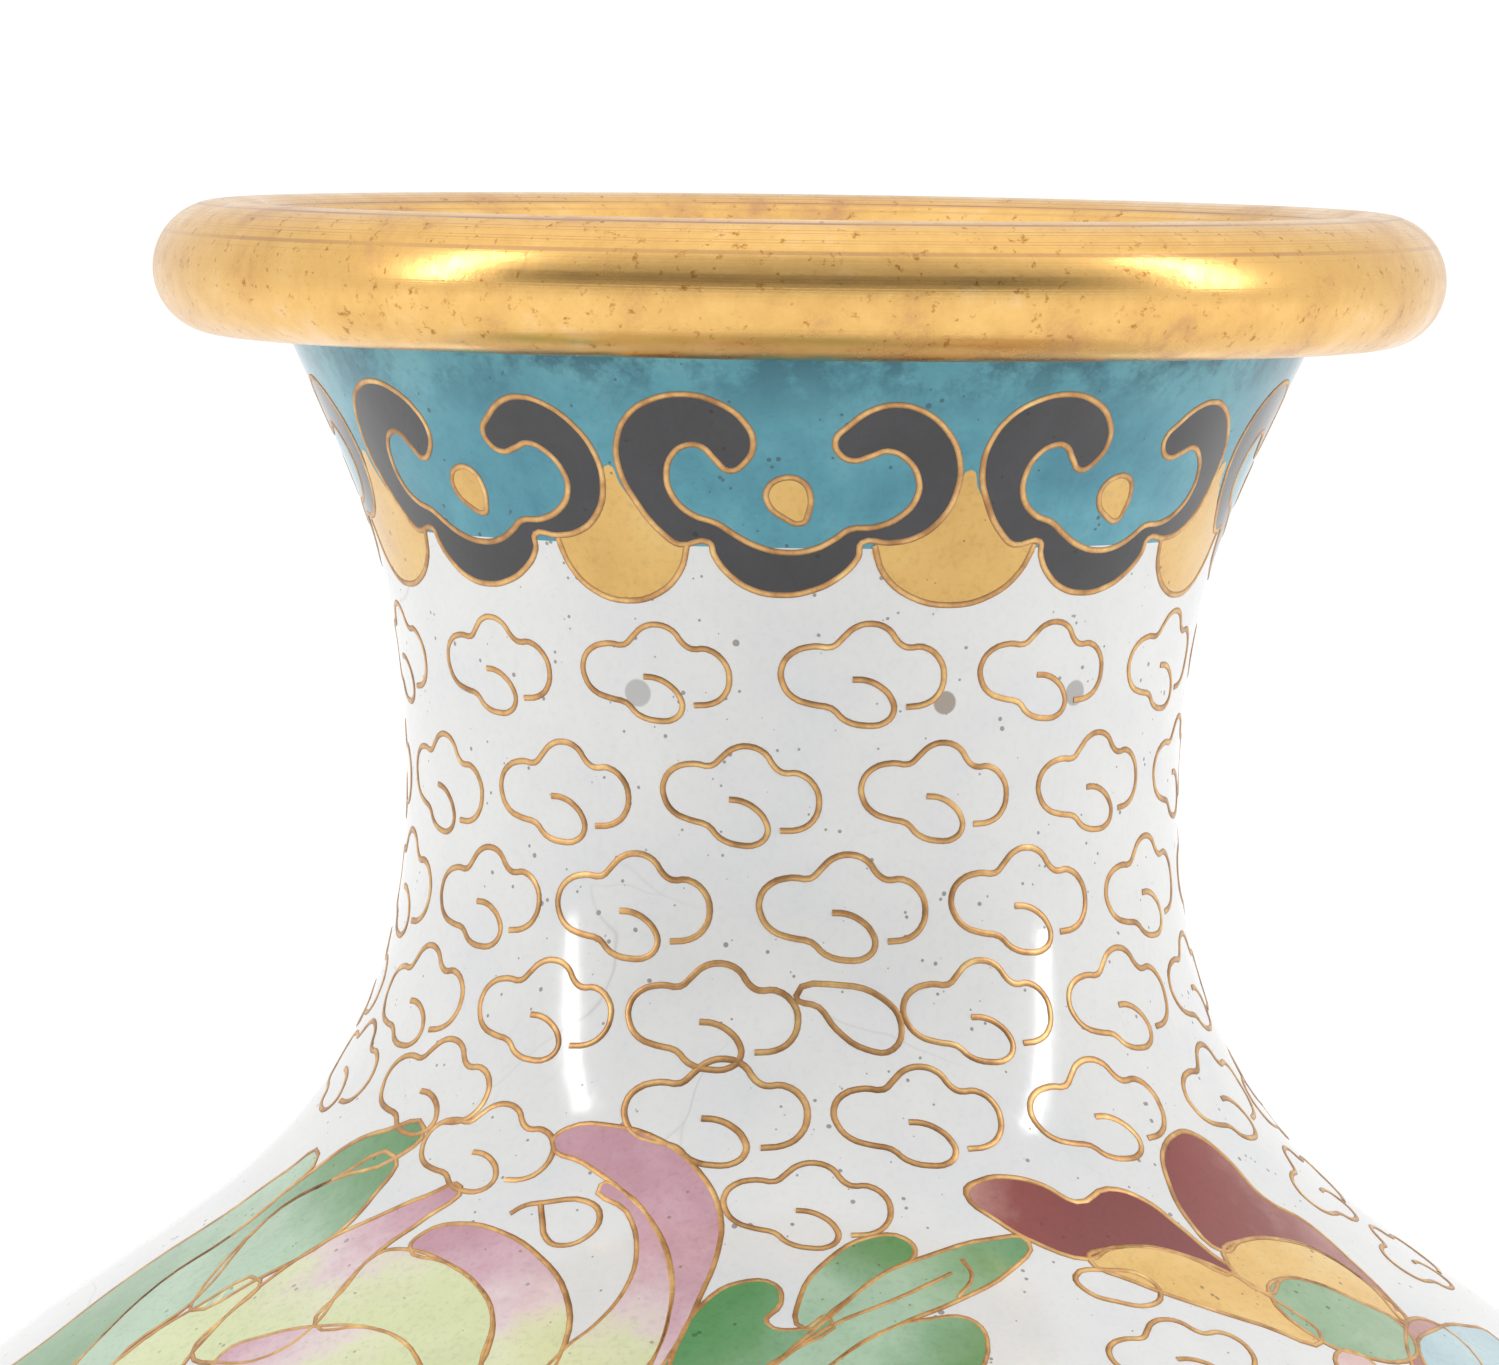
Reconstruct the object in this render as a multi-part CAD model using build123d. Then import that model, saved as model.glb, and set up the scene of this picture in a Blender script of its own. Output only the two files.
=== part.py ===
from build123d import *
from math import cos, radians, sin
import os

# A cloisonne vase: a spun copper body with soldered brass rings at rim and foot.  A ground coat of
# enamel covers the copper, thin brass wires stand on edge on that coat, and coloured enamel fills
# the cells between them.  Millimetres, +Z up, origin under the middle of the foot, front at -Y.

# Driving dimensions
HEIGHT = 229.0
CELL_DEPTH = 0.2             # wires and cell enamel, standing on the ground coat
ENAMEL_DEPTH = 0.8           # wires and ground coat together
COPPER_DEPTH = 1.2           # wall of the spun copper
LINING_DEPTH = 0.4           # counter-enamel on the inside and under the base
WIRE_WIDTH = 0.36
CUT_ABOVE = 2.0              # how far a cutting prism stands out of the wall
CUT_BELOW = 4.5
SOLDER_GAP = 0.3

RIM_BOTTOM = 221.7
RIM_BEAD_RADIUS = (HEIGHT - RIM_BOTTOM) / 2
RIM_BEAD_CENTRE = 31.85
RIM_BORE = 25.9
NECK_SEAM = 172.0
BELLY_SEAM = 128.0
FOOT_TOP = 7.0
FOOT_RADIUS = 36.4
FOOT_BORE = 31.5
BASE_HEIGHT = 11.0
BASE_THICKNESS = 1.2
COLLAR_BOTTOM = 211.2        # where turquoise ground meets white ground
BORDER_TOP = 21.0            # where white ground meets the turquoise foot band
COLLAR_HEIGHT = 214.5        # height of the ruyi heads' middles
HEAD_COUNT = 8
HEAD_TURN = -1.2             # degrees from the front to the first head
FOOT_PETAL_COUNT = 16

# Height and radius of the enamel's outer face, from inside the rim's seat down to the foot
WALL_POINTS = [
    (224.0, 29.3), (221.2, 27.9), (215.9, 25.4), (208.0, 22.5), (198.5, 21.3), (192.0, 21.5),
    (184.2, 23.6), (176.3, 29.2), (169.7, 37.9), (163.5, 46.0), (155.0, 53.8), (143.5, 59.5),
    (129.0, 62.0), (113.0, 61.0), (95.0, 57.0), (76.0, 50.5), (56.0, 43.5), (38.0, 37.5),
    (24.0, 34.0), (16.0, 33.4), (9.5, 34.6), (4.0, 36.6),
]

# Rows of cloud wires: height, number round the vase, turn of the first one in degrees
NECK_CLOUD_ROWS = [
    (204.9, 12, 9.7), (198.3, 12, -8.0), (192.3, 12, 7.0), (186.6, 13, -11.0), (181.6, 14, 15.0),
]
BODY_CLOUD_ROWS = [(175.6, 14, 0.0), (67.0, 14, 6.0)]

# Drawings of the wires in millimetres, x round the vase and y up it
CLOUD = [
    (-0.97, -0.46), (-0.19, -0.42), (0.66, -0.67), (1.30, -1.27), (1.55, -2.00), (1.22, -2.62),
    (0.10, -2.80), (-0.97, -2.50), (-1.68, -1.88), (-2.74, -1.66), (-3.73, -1.30), (-4.30, -0.57),
    (-4.40, 0.28), (-3.87, 1.10), (-2.74, 1.48), (-1.75, 1.46), (-1.18, 1.98), (-0.62, 2.50),
    (0.30, 2.73), (1.22, 2.41), (1.80, 1.70), (2.30, 1.42), (3.14, 1.45), (4.06, 0.85),
    (4.41, -0.14), (4.13, -1.13), (3.42, -1.66), (2.36, -1.81),
]
HEAD_LEFT = [
    (-4.13, -2.72), (-5.70, -2.89), (-6.55, -2.36), (-8.06, -0.57), (-9.05, 1.43), (-9.15, 3.00),
    (-8.58, 4.43), (-7.40, 5.36), (-5.57, 5.79), (-3.73, 5.36), (-2.29, 4.22), (-1.83, 3.00),
    (-2.23, 1.93), (-3.08, 1.40),
]
HEAD_INSIDE = [
    (-3.08, 1.40), (-3.86, 2.07), (-4.52, 2.75), (-5.31, 2.85), (-6.09, 2.29), (-6.42, 1.14),
    (-6.09, -0.14), (-5.04, -1.17), (-3.73, -1.64), (-2.69, -2.32), (-1.51, -2.93), (-0.07, -3.22),
    (1.38, -3.00), (2.42, -2.43), (3.21, -1.86), (4.52, -1.72), (5.83, -1.14), (6.75, 0.00),
    (6.81, 1.14), (6.16, 2.22), (5.17, 2.68), (4.26, 2.36), (3.34, 2.10),
]
HEAD_RIGHT = [
    (3.34, 2.10), (2.62, 2.50), (2.42, 3.29), (3.08, 4.08), (4.26, 5.01), (5.57, 5.36),
    (7.01, 5.01), (8.38, 3.79), (9.05, 2.15), (8.91, 0.29), (8.06, -1.29), (6.75, -2.29),
    (5.31, -2.60), (3.86, -2.60),
]
HEAD_LOBE = [
    (3.86, -2.60), (3.67, -3.43), (2.55, -4.65), (1.24, -5.32), (-0.20, -5.58), (-1.90, -5.29),
    (-3.21, -4.36), (-3.86, -3.43), (-4.13, -2.72),
]
LAPPET = [
    (-0.45, 1.5), (-0.9, -0.8), (-2.3, -2.9), (-3.7, -4.2), (-2.5, -5.7), (0.0, -6.5), (2.5, -5.7),
    (3.7, -4.2), (2.3, -2.9), (0.9, -0.8), (0.45, 1.5),
]
DOT = [(1.0, -1.2), (1.1, 0.6), (0.0, 1.35), (-1.15, 0.2), (-0.7, -0.9)]
FOOT_PETAL = [
    (-5.0, -3.4), (0.0, -3.6), (5.0, -3.4), (5.2, 0.6), (3.6, 3.6), (0.0, 5.4), (-3.6, 3.6),
    (-5.2, 0.6),
]
FOOT_PETAL_HEIGHT = 27.0
OUTER_PETAL = [
    (0.0, 9.8), (5.6, 10.6), (8.0, 14.6), (4.6, 18.8), (0.0, 18.0), (-4.6, 18.8), (-8.0, 14.6),
    (-5.6, 10.6),
]
INNER_PETAL = [(0.0, 3.6), (3.0, 5.0), (3.4, 7.8), (0.0, 8.8), (-3.4, 7.8), (-3.0, 5.0)]
HEART_RADIUS = 2.4
FLOWER_HEART = [
    (HEART_RADIUS * cos(radians(a)), HEART_RADIUS * sin(radians(a))) for a in range(0, 360, 45)
]
LEAF = [
    (0.0, 22.0), (-2.2, 17.5), (-4.8, 11.5), (-4.2, 5.2), (0.0, 0.0), (4.2, 5.2), (4.8, 11.5),
    (2.2, 17.5),
]
UPPER_WING = [(1.5, 0.7), (7.5, 2.4), (13.0, 5.6), (15.5, 10.4), (11.5, 12.8), (5.0, 8.5)]
LOWER_WING = [(1.7, -0.4), (1.8, -4.4), (4.4, -7.6), (8.4, -7.0), (10.0, -2.6), (6.5, 0.3)]
BUTTERFLY_BODY = [(0.0, -7.5), (0.9, -3.5), (0.95, 2.0), (0.0, 5.0), (-0.95, 2.0), (-0.9, -3.5)]

# Places on the body: turn in degrees, height, tilt of the drawing in degrees
FLOWER_PLACES = [(-35.0 + 90.0 * i, 146.0 - 36.0 * (i % 2), 14.0 * i) for i in range(4)]
LEAF_PLACES = [(f[0] + side * 24.0, f[1] + 2.0, side * -58.0) for f in FLOWER_PLACES for side in (-1, 1)]
BUTTERFLY_PLACES = [(52.0, 160.0, 20.0), (232.0, 160.0, -15.0), (-35.0, 98.0, 10.0), (145.0, 98.0, -12.0)]


def wall_line(depth):
    """The wall's line in the XZ half plane, moved inwards by depth."""
    middle = Spline(*[(r, z) for z, r in WALL_POINTS])
    points = []
    for z, r in WALL_POINTS:
        run = middle.tangent_at(middle.param_at_point(Vector(r, z)))
        points.append((r + run.Y * depth, z - run.X * depth))
    return Spline(*points)


WALL = wall_line(0)


def arc_at_height(height):
    """Distance along the wall's line from its top end down to a height."""
    low, high = 0.0, 1.0
    for _ in range(30):
        middle = (low + high) / 2
        if (WALL @ middle).Y > height:
            low = middle
        else:
            high = middle
    return low * WALL.length


def layer(outer_depth, inner_depth, bottom, top):
    """A revolved wall between two depths and two heights."""
    outer = wall_line(outer_depth)
    inner = wall_line(inner_depth)
    band = make_face([outer, inner, Line(outer @ 0, inner @ 0), Line(outer @ 1, inner @ 1)])
    slab = Pos(50, (bottom + top) / 2) * Rectangle(100, top - bottom)
    return turned(band & slab)


def inside_face(depth, bottom, top):
    """The half section of what the wall holds between two heights, out to a depth."""
    edge = wall_line(depth)
    ends = [Line(edge @ 0, (0, (edge @ 0).Y)), Line((0, (edge @ 0).Y), (0, (edge @ 1).Y))]
    whole = make_face([edge, *ends, Line((0, (edge @ 1).Y), edge @ 1)])
    return whole & Pos(50, (bottom + top) / 2) * Rectangle(100, top - bottom)


def turned(section):
    """Revolve a section drawn with x as radius and y as height."""
    return revolve(Plane.XZ * section, Axis.Z, 360)


def on_wall(x, y, turn, arc):
    """The point x round and y up from a place on the enamel's face, and its outward normal."""
    place = (arc - y) / WALL.length
    point = WALL @ place
    run = WALL % place
    angle = radians(turn) + x / point.X
    out = Vector(sin(angle), -cos(angle), 0)
    return out * point.X + Vector(0, 0, point.Y), out * -run.Y + Vector(0, 0, run.X)


def tilted(points, tilt):
    """Turn a drawing anticlockwise about its origin."""
    c, s = cos(radians(tilt)), sin(radians(tilt))
    return [(x * c - y * s, x * s + y * c) for x, y in points]


def middle_of(points):
    return sum(x for x, y in points) / len(points), sum(y for x, y in points) / len(points)


def cutting_plane(points, turn, arc):
    """The plane that faces the middle of a drawing laid on the wall."""
    x, y = middle_of(points)
    spot, normal = on_wall(x, y, turn, arc)
    across = Vector(-spot.Y, spot.X, 0)
    return Plane(origin=spot, x_dir=across, z_dir=normal)


def laid(points, plane, turn, arc):
    """A drawing's points laid on the wall, then seen in the plane."""
    flat = [plane.to_local_coords(on_wall(x, y, turn, arc)[0]) for x, y in points]
    return [(p.X, p.Y) for p in flat]


def prism(face, plane):
    """A face pushed through the wall along the plane's normal."""
    return extrude(plane.offset(-CUT_BELOW) * face, amount=CUT_BELOW + CUT_ABOVE)


def ribbon(line, spans, lap):
    """The face of a wire along a line, run on by a lap past both of its ends."""
    sides = []
    for side in (-1, 1):
        row = []
        for i in range(spans + 1):
            spot = line @ (i / spans)
            run = line % (i / spans)
            ahead = -lap if i == 0 else lap if i == spans else 0
            shift = side * WIRE_WIDTH / 2
            row.append((spot.X - shift * run.Y + ahead * run.X, spot.Y + shift * run.X + ahead * run.Y))
        sides.append(Spline(*row))
    left, right = sides
    return make_face([left, right, Line(left @ 0, right @ 0), Line(left @ 1, right @ 1)])


def open_wire(points, turn, arc):
    """The cutting prism of a wire bent along an open line."""
    plane = cutting_plane(points, turn, arc)
    line = Spline(*laid(points, plane, turn, arc))
    return prism(ribbon(line, 2 * len(points), 0), plane)


def cornered_cell(runs, turn, arc):
    """Prisms of the wire round a cell and of the enamel in it, from smooth runs that meet at corners."""
    plane = cutting_plane([p for run in runs for p in run], turn, arc)
    lines = [Spline(*laid(run, plane, turn, arc)) for run in runs]
    wire = Sketch() + [ribbon(line, 2 * len(run), WIRE_WIDTH / 2) for line, run in zip(lines, runs)]
    return prism(wire, plane), prism(make_face(lines) - wire, plane)


def shifted(points, distance):
    """A closed anticlockwise outline moved outwards, each point along the normal there."""
    moved = []
    for i, (x, y) in enumerate(points):
        before = points[i - 1]
        after = points[(i + 1) % len(points)]
        along = Vector(after[0] - before[0], after[1] - before[1]).normalized()
        moved.append((x + distance * along.Y, y - distance * along.X))
    return moved


def closed_face(points):
    """A face inside one smooth closed line with a corner at its first point."""
    return make_face(Spline(*points, points[0]))


def cell(points, turn, arc):
    """Prisms of the wire round a cell and of the enamel in it, from a closed anticlockwise outline."""
    plane = cutting_plane(points, turn, arc)
    outline = laid(points, plane, turn, arc)
    outside = closed_face(shifted(outline, WIRE_WIDTH / 2))
    inside = closed_face(shifted(outline, -WIRE_WIDTH / 2))
    return prism(outside - inside, plane), prism(inside, plane)


def cells(drawings, places):
    """Wires and enamels of several outlines at each place on the wall."""
    made = []
    for turn, height, tilt in places:
        arc = arc_at_height(height)
        made += [cell(tilted(drawing, tilt), turn, arc) for drawing in drawings]
    wires, enamels = zip(*made)
    return list(wires), list(enamels)


def spun(shapes, count, first=0.0):
    """Copies of shapes evenly round the vase."""
    return [Rot(0, 0, first + 360 * i / count) * shape for i in range(count) for shape in shapes]


def cut_out(prisms, wall):
    """The solids that prisms cut from a wall, one list for each prism's pieces."""
    return [piece for one in prisms for piece in (one & wall).solids()]


def save(name, shapes):
    """Write one node as one solid or a group of solids."""
    solids = [solid for shape in shapes for solid in shape.solids()]
    export_step(solids[0] if len(solids) == 1 else Compound(children=solids), f"parts/{name}.step")


def make_rim():
    """The rim ring: a turned brass bead that caps the copper lip, sloping into its bore."""
    crest = Vector(RIM_BEAD_CENTRE, HEIGHT)
    slope_start = (
        RIM_BEAD_CENTRE - RIM_BEAD_RADIUS * sin(radians(45)),
        HEIGHT - RIM_BEAD_RADIUS * (1 - cos(radians(45))),
    )
    slope_end = (RIM_BORE + 0.6, slope_start[1] - (slope_start[0] - RIM_BORE - 0.6))
    outside = ThreePointArc(
        (RIM_BEAD_CENTRE, RIM_BOTTOM),
        (RIM_BEAD_CENTRE + RIM_BEAD_RADIUS, HEIGHT - RIM_BEAD_RADIUS),
        crest,
    )
    shoulder = TangentArc(crest, slope_start, tangent=(-1, 0))
    slope = Line(slope_start, slope_end)
    bend = TangentArc(slope_end, (RIM_BORE, slope_end[1] - 1.45), tangent=(-1, -1))
    bore = Line(bend @ 1, (RIM_BORE, RIM_BOTTOM))
    seat = Line((RIM_BORE, RIM_BOTTOM), (RIM_BEAD_CENTRE, RIM_BOTTOM))
    return turned(make_face([outside, shoulder, slope, bend, bore, seat]))


def make_foot():
    """The foot ring: a turned brass ring with a rounded outer edge and a flat resting face."""
    round_edge = ThreePointArc((FOOT_RADIUS - 0.8, 0), (FOOT_RADIUS, FOOT_TOP * 0.45), (FOOT_RADIUS - 0.6, FOOT_TOP))
    top = Line(round_edge @ 1, (FOOT_BORE, FOOT_TOP))
    bore = Line(top @ 1, (FOOT_BORE, 0))
    return turned(make_face([round_edge, top, bore, Line(bore @ 1, round_edge @ 0)]))


def save_body():
    """Copper shells, solder seams, brass rings, base and counter-enamel."""
    inner = ENAMEL_DEPTH + COPPER_DEPTH
    half_gap = SOLDER_GAP / 2
    shells = {
        "neck_shell": (NECK_SEAM + half_gap, RIM_BOTTOM - SOLDER_GAP),
        "shoulder_shell": (BELLY_SEAM + half_gap, NECK_SEAM - half_gap),
        "lower_body_shell": (FOOT_TOP + SOLDER_GAP, BELLY_SEAM - half_gap),
    }
    seams = {"neck_seam_solder": NECK_SEAM, "belly_seam_solder": BELLY_SEAM}
    for name, (bottom, top) in shells.items():
        save(name, [layer(ENAMEL_DEPTH, inner, bottom, top)])
    for name, height in seams.items():
        save(name, [layer(ENAMEL_DEPTH, inner, height - half_gap, height + half_gap)])
    save("rim_solder", [layer(ENAMEL_DEPTH, inner, RIM_BOTTOM - SOLDER_GAP, RIM_BOTTOM)])
    save("foot_solder", [layer(ENAMEL_DEPTH, inner, FOOT_TOP, FOOT_TOP + SOLDER_GAP)])
    save("rim_ring", [make_rim()])
    save("foot_ring", [make_foot()])

    base_top = BASE_HEIGHT + BASE_THICKNESS
    save("base_disc", [turned(inside_face(inner, BASE_HEIGHT, base_top))])
    save("floor_enamel", [turned(inside_face(inner, base_top, base_top + LINING_DEPTH))])
    save("underside_enamel", [turned(inside_face(inner, BASE_HEIGHT - LINING_DEPTH, BASE_HEIGHT))])
    lining = inner + LINING_DEPTH
    save("body_lining_enamel", [layer(inner, lining, base_top + LINING_DEPTH, NECK_SEAM)])
    save("neck_lining_enamel", [layer(inner, lining, NECK_SEAM, RIM_BOTTOM)])


def save_nodes(prisms_of, wall, count=1):
    """Cut each node's pieces from the wall's outer layer once and write them spun round the vase."""
    for name, prisms in prisms_of.items():
        save(name, spun(cut_out(prisms, wall), count))


def save_collar(wall):
    """The collar's black ruyi heads, their yellow dots, and the yellow lappets between them."""
    arc = arc_at_height(COLLAR_HEIGHT)
    runs = [HEAD_LEFT, HEAD_INSIDE, HEAD_RIGHT, HEAD_LOBE]
    head_wire, head_enamel = cornered_cell(runs, HEAD_TURN, arc)
    dot_wire, dot_enamel = cell(DOT, HEAD_TURN, arc)
    lappet_turn = HEAD_TURN + 180 / HEAD_COUNT
    lappet_wire, lappet_enamel = cell(LAPPET, lappet_turn, arc)
    save_nodes({
        "ruyi_enamel": [head_enamel],
        "ruyi_wires": [head_wire],
        "ruyi_dot_enamel": [dot_enamel],
        "ruyi_dot_wires": [dot_wire],
        "lappet_enamel": [lappet_enamel],
        "lappet_wires": [lappet_wire],
    }, wall, HEAD_COUNT)


def save_clouds(name, rows, wall):
    """Rows of cloud wires, each bent from one length."""
    wires = []
    for height, count, first in rows:
        cutter = open_wire(CLOUD, first, arc_at_height(height))
        wires += spun(cut_out([cutter], wall), count)
    save(name, wires)


def save_flowers(wall):
    """Peonies with two rings of petals round a heart, with a leaf on either side."""
    nodes = {"flower_wires": []}
    kinds = (
        ("outer_petal_enamel", OUTER_PETAL, 5, 0.0),
        ("inner_petal_enamel", INNER_PETAL, 5, 36.0),
        ("flower_heart_enamel", FLOWER_HEART, 1, 0.0),
    )
    for name, drawing, count, first in kinds:
        places = [
            (turn, height, tilt + first + 360 * i / count)
            for turn, height, tilt in FLOWER_PLACES
            for i in range(count)
        ]
        wires, nodes[name] = cells([drawing], places)
        nodes["flower_wires"] += wires
    nodes["leaf_wires"], nodes["leaf_enamel"] = cells([LEAF], LEAF_PLACES)
    save_nodes(nodes, wall)


def mirrored(points):
    """The same outline on the other side, still anticlockwise from the same first point."""
    turned_over = [(-x, y) for x, y in points]
    return turned_over[:1] + turned_over[:0:-1]


def save_butterflies(wall):
    """Butterflies with red upper wings, yellow lower wings and a pale body."""
    drawings = {
        "butterfly_upper_wing_enamel": [UPPER_WING, mirrored(UPPER_WING)],
        "butterfly_lower_wing_enamel": [LOWER_WING, mirrored(LOWER_WING)],
        "butterfly_body_enamel": [BUTTERFLY_BODY],
    }
    nodes = {"butterfly_wires": []}
    for name, drawing in drawings.items():
        wires, nodes[name] = cells(drawing, BUTTERFLY_PLACES)
        nodes["butterfly_wires"] += wires
    save_nodes(nodes, wall)


def save_foot_petals(wall):
    """Blue petals standing round the foot above the ring wire."""
    wire, enamel = cell(FOOT_PETAL, 0, arc_at_height(FOOT_PETAL_HEIGHT))
    save_nodes({"foot_petal_enamel": [enamel], "foot_petal_wires": [wire]}, wall, FOOT_PETAL_COUNT)


def save_grounds():
    """The ground coat: turquoise collar, white neck and body, turquoise foot band with a ring wire."""
    border_foot = BORDER_TOP - WIRE_WIDTH / 2
    border_head = BORDER_TOP + WIRE_WIDTH / 2
    save("collar_ground_enamel", [layer(CELL_DEPTH, ENAMEL_DEPTH, COLLAR_BOTTOM, RIM_BOTTOM)])
    save("white_ground_enamel", [layer(CELL_DEPTH, ENAMEL_DEPTH, border_head, COLLAR_BOTTOM)])
    save("foot_band_wire", [layer(0, ENAMEL_DEPTH, border_foot, border_head)])
    save("foot_band_enamel", [layer(CELL_DEPTH, ENAMEL_DEPTH, FOOT_TOP, border_foot)])


os.makedirs("parts", exist_ok=True)
save_body()
save_grounds()
cell_layer = layer(0, CELL_DEPTH, BORDER_TOP, RIM_BOTTOM)
save_collar(cell_layer)
save_clouds("neck_cloud_wires", NECK_CLOUD_ROWS, cell_layer)
save_clouds("body_cloud_wires", BODY_CLOUD_ROWS, cell_layer)
save_flowers(cell_layer)
save_butterflies(cell_layer)
save_foot_petals(cell_layer)
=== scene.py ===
import bpy
import numpy as np
from math import cos, hypot, pi, radians, sin, tan
from mathutils import Matrix, Vector
from mathutils.geometry import delaunay_2d_cdt


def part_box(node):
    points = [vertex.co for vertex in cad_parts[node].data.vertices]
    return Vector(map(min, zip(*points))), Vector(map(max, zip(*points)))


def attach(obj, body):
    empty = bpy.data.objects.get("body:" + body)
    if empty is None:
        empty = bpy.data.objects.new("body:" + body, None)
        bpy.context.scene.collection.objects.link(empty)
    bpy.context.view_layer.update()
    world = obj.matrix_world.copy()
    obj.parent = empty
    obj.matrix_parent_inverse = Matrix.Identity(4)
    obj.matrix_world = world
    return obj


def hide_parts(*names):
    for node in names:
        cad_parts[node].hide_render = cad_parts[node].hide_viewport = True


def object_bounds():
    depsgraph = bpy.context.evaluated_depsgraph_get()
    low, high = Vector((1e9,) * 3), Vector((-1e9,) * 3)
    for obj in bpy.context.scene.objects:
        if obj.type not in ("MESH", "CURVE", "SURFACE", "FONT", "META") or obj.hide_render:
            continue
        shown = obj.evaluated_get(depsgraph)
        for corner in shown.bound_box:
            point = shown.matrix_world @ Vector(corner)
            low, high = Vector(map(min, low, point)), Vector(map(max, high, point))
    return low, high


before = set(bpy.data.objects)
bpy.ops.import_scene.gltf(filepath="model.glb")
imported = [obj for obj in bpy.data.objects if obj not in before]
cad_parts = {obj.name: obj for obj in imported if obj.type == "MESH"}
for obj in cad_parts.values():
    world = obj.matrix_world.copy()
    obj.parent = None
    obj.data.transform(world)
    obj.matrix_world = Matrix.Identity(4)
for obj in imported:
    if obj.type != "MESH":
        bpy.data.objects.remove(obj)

cad_low, cad_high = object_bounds()


# Camera: a long lens just above the rim, looking a little down at the neck, with a slight roll.
HEIGHT = cad_high.z
CAMERA_DISTANCE = 0.550
CAMERA_ABOVE_RIM = 0.0121
CAMERA_PITCH = 3.99
CAMERA_YAW = 0.255
CAMERA_ROLL = 0.75
VIEW_WIDTH = 8.57
SENSOR_WIDTH = 36
bpy.ops.object.camera_add(location=(0, -CAMERA_DISTANCE, HEIGHT + CAMERA_ABOVE_RIM))
camera = bpy.context.object
camera.name = "camera"
turn_down = Matrix.Rotation(radians(90 - CAMERA_PITCH), 4, "X")
turn_left = Matrix.Rotation(radians(CAMERA_YAW), 4, "Z")
camera.rotation_euler = (turn_left @ turn_down @ Matrix.Rotation(radians(CAMERA_ROLL), 4, "Z")).to_euler()
camera.data.sensor_width = SENSOR_WIDTH
camera.data.lens = SENSOR_WIDTH / 2 / tan(radians(VIEW_WIDTH / 2))
camera.data.clip_start = 0.01
camera.data.clip_end = 200
bpy.context.scene.camera = camera


# White ground: vitreous enamel fired onto the copper between the wires of neck and body, then
# ground flush with them and polished.  It is one skin, spun here along the outer line of the wall.
CELL_LAYER = 0.0002
WIRE_PROUD = 0.00006
FELT_FROM = 0.2
FELT_TURNS = 12
SHARP_ANGLE = radians(38)
MERGE_DISTANCE = 0.000002
GROUND_NODES = [
    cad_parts[name] for name in ("white_ground_enamel", "collar_ground_enamel", "foot_band_enamel")
]


def felt_radius(height):
    """The ground's radius at a height, felt from outside on the CAD skins, plus the cells on it."""
    widest = 0.0
    for node in GROUND_NODES:
        inward = node.matrix_world.inverted()
        for step in range(FELT_TURNS):
            angle = 2 * pi * step / FELT_TURNS
            out = Vector((cos(angle), sin(angle), 0))
            start = inward @ (out * FELT_FROM + Vector((0, 0, height)))
            ahead = (inward @ Vector((0, 0, height)) - start).normalized()
            hit, spot, *_ = node.ray_cast(start, ahead)
            if hit:
                spot = node.matrix_world @ spot
                widest = max(widest, hypot(spot.x, spot.y))
    return widest + CELL_LAYER - WIRE_PROUD


def smooth_through(knots, values, asked):
    """A natural cubic curve through values at knots, read at the asked places."""
    knots, values, asked = (np.asarray(a, float) for a in (knots, values, asked))
    gap = np.diff(knots)
    n = len(knots)
    system = np.eye(n)
    right = np.zeros(n)
    for i in range(1, n - 1):
        system[i, i - 1:i + 2] = gap[i - 1], 2 * (gap[i - 1] + gap[i]), gap[i]
        right[i] = 3 * ((values[i + 1] - values[i]) / gap[i] - (values[i] - values[i - 1]) / gap[i - 1])
    bend = np.linalg.solve(system, right)
    i = np.clip(np.searchsorted(knots, asked) - 1, 0, n - 2)
    t = asked - knots[i]
    slope = (values[i + 1] - values[i]) / gap[i] - gap[i] * (2 * bend[i] + bend[i + 1]) / 3
    return values[i] + t * (slope + t * (bend[i] + t * (bend[i + 1] - bend[i]) / (3 * gap[i])))


wall_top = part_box("collar_ground_enamel")[1].z
wall_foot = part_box("foot_band_enamel")[0].z
EDGE_CLEARANCE = 0.0001
felt_heights = np.linspace(wall_top - EDGE_CLEARANCE, wall_foot + EDGE_CLEARANCE, 34)
felt = np.array([(felt_radius(z), z) for z in felt_heights])
felt_run = np.concatenate([[0], np.cumsum(np.hypot(*np.diff(felt, axis=0).T))])
fine_run = np.linspace(0, felt_run[-1], 1600)
WALL = np.stack([smooth_through(felt_run, felt[:, k], fine_run) for k in (0, 1)], axis=1)
WALL_RUN = np.concatenate([[0], np.cumsum(np.hypot(*np.diff(WALL, axis=0).T))])
WALL_LEAN = np.gradient(WALL, WALL_RUN, axis=0)


def run_at(height):
    """Distance down the wall's line from the rim to a height."""
    return float(np.interp(-height, -WALL[:, 1], WALL_RUN))


def on_wall(turn, run, x, y, lift):
    """Points x round and y up from a place on the wall, standing lift off it.  Degrees and metres."""
    along = np.asarray(run - y)
    radius, height, lean_r, lean_z = (
        np.interp(along, WALL_RUN, column) for column in (*WALL.T, *WALL_LEAN.T)
    )
    angle = radians(turn) + np.asarray(x) / radius
    out = radius - lift * lean_z
    return np.stack([out * np.sin(angle), -out * np.cos(angle), height + lift * lean_r], axis=-1)


def deselect():
    if bpy.context.object and bpy.context.object.mode != "OBJECT":
        bpy.ops.object.mode_set(mode="OBJECT")
    bpy.ops.object.select_all(action="DESELECT")


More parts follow.
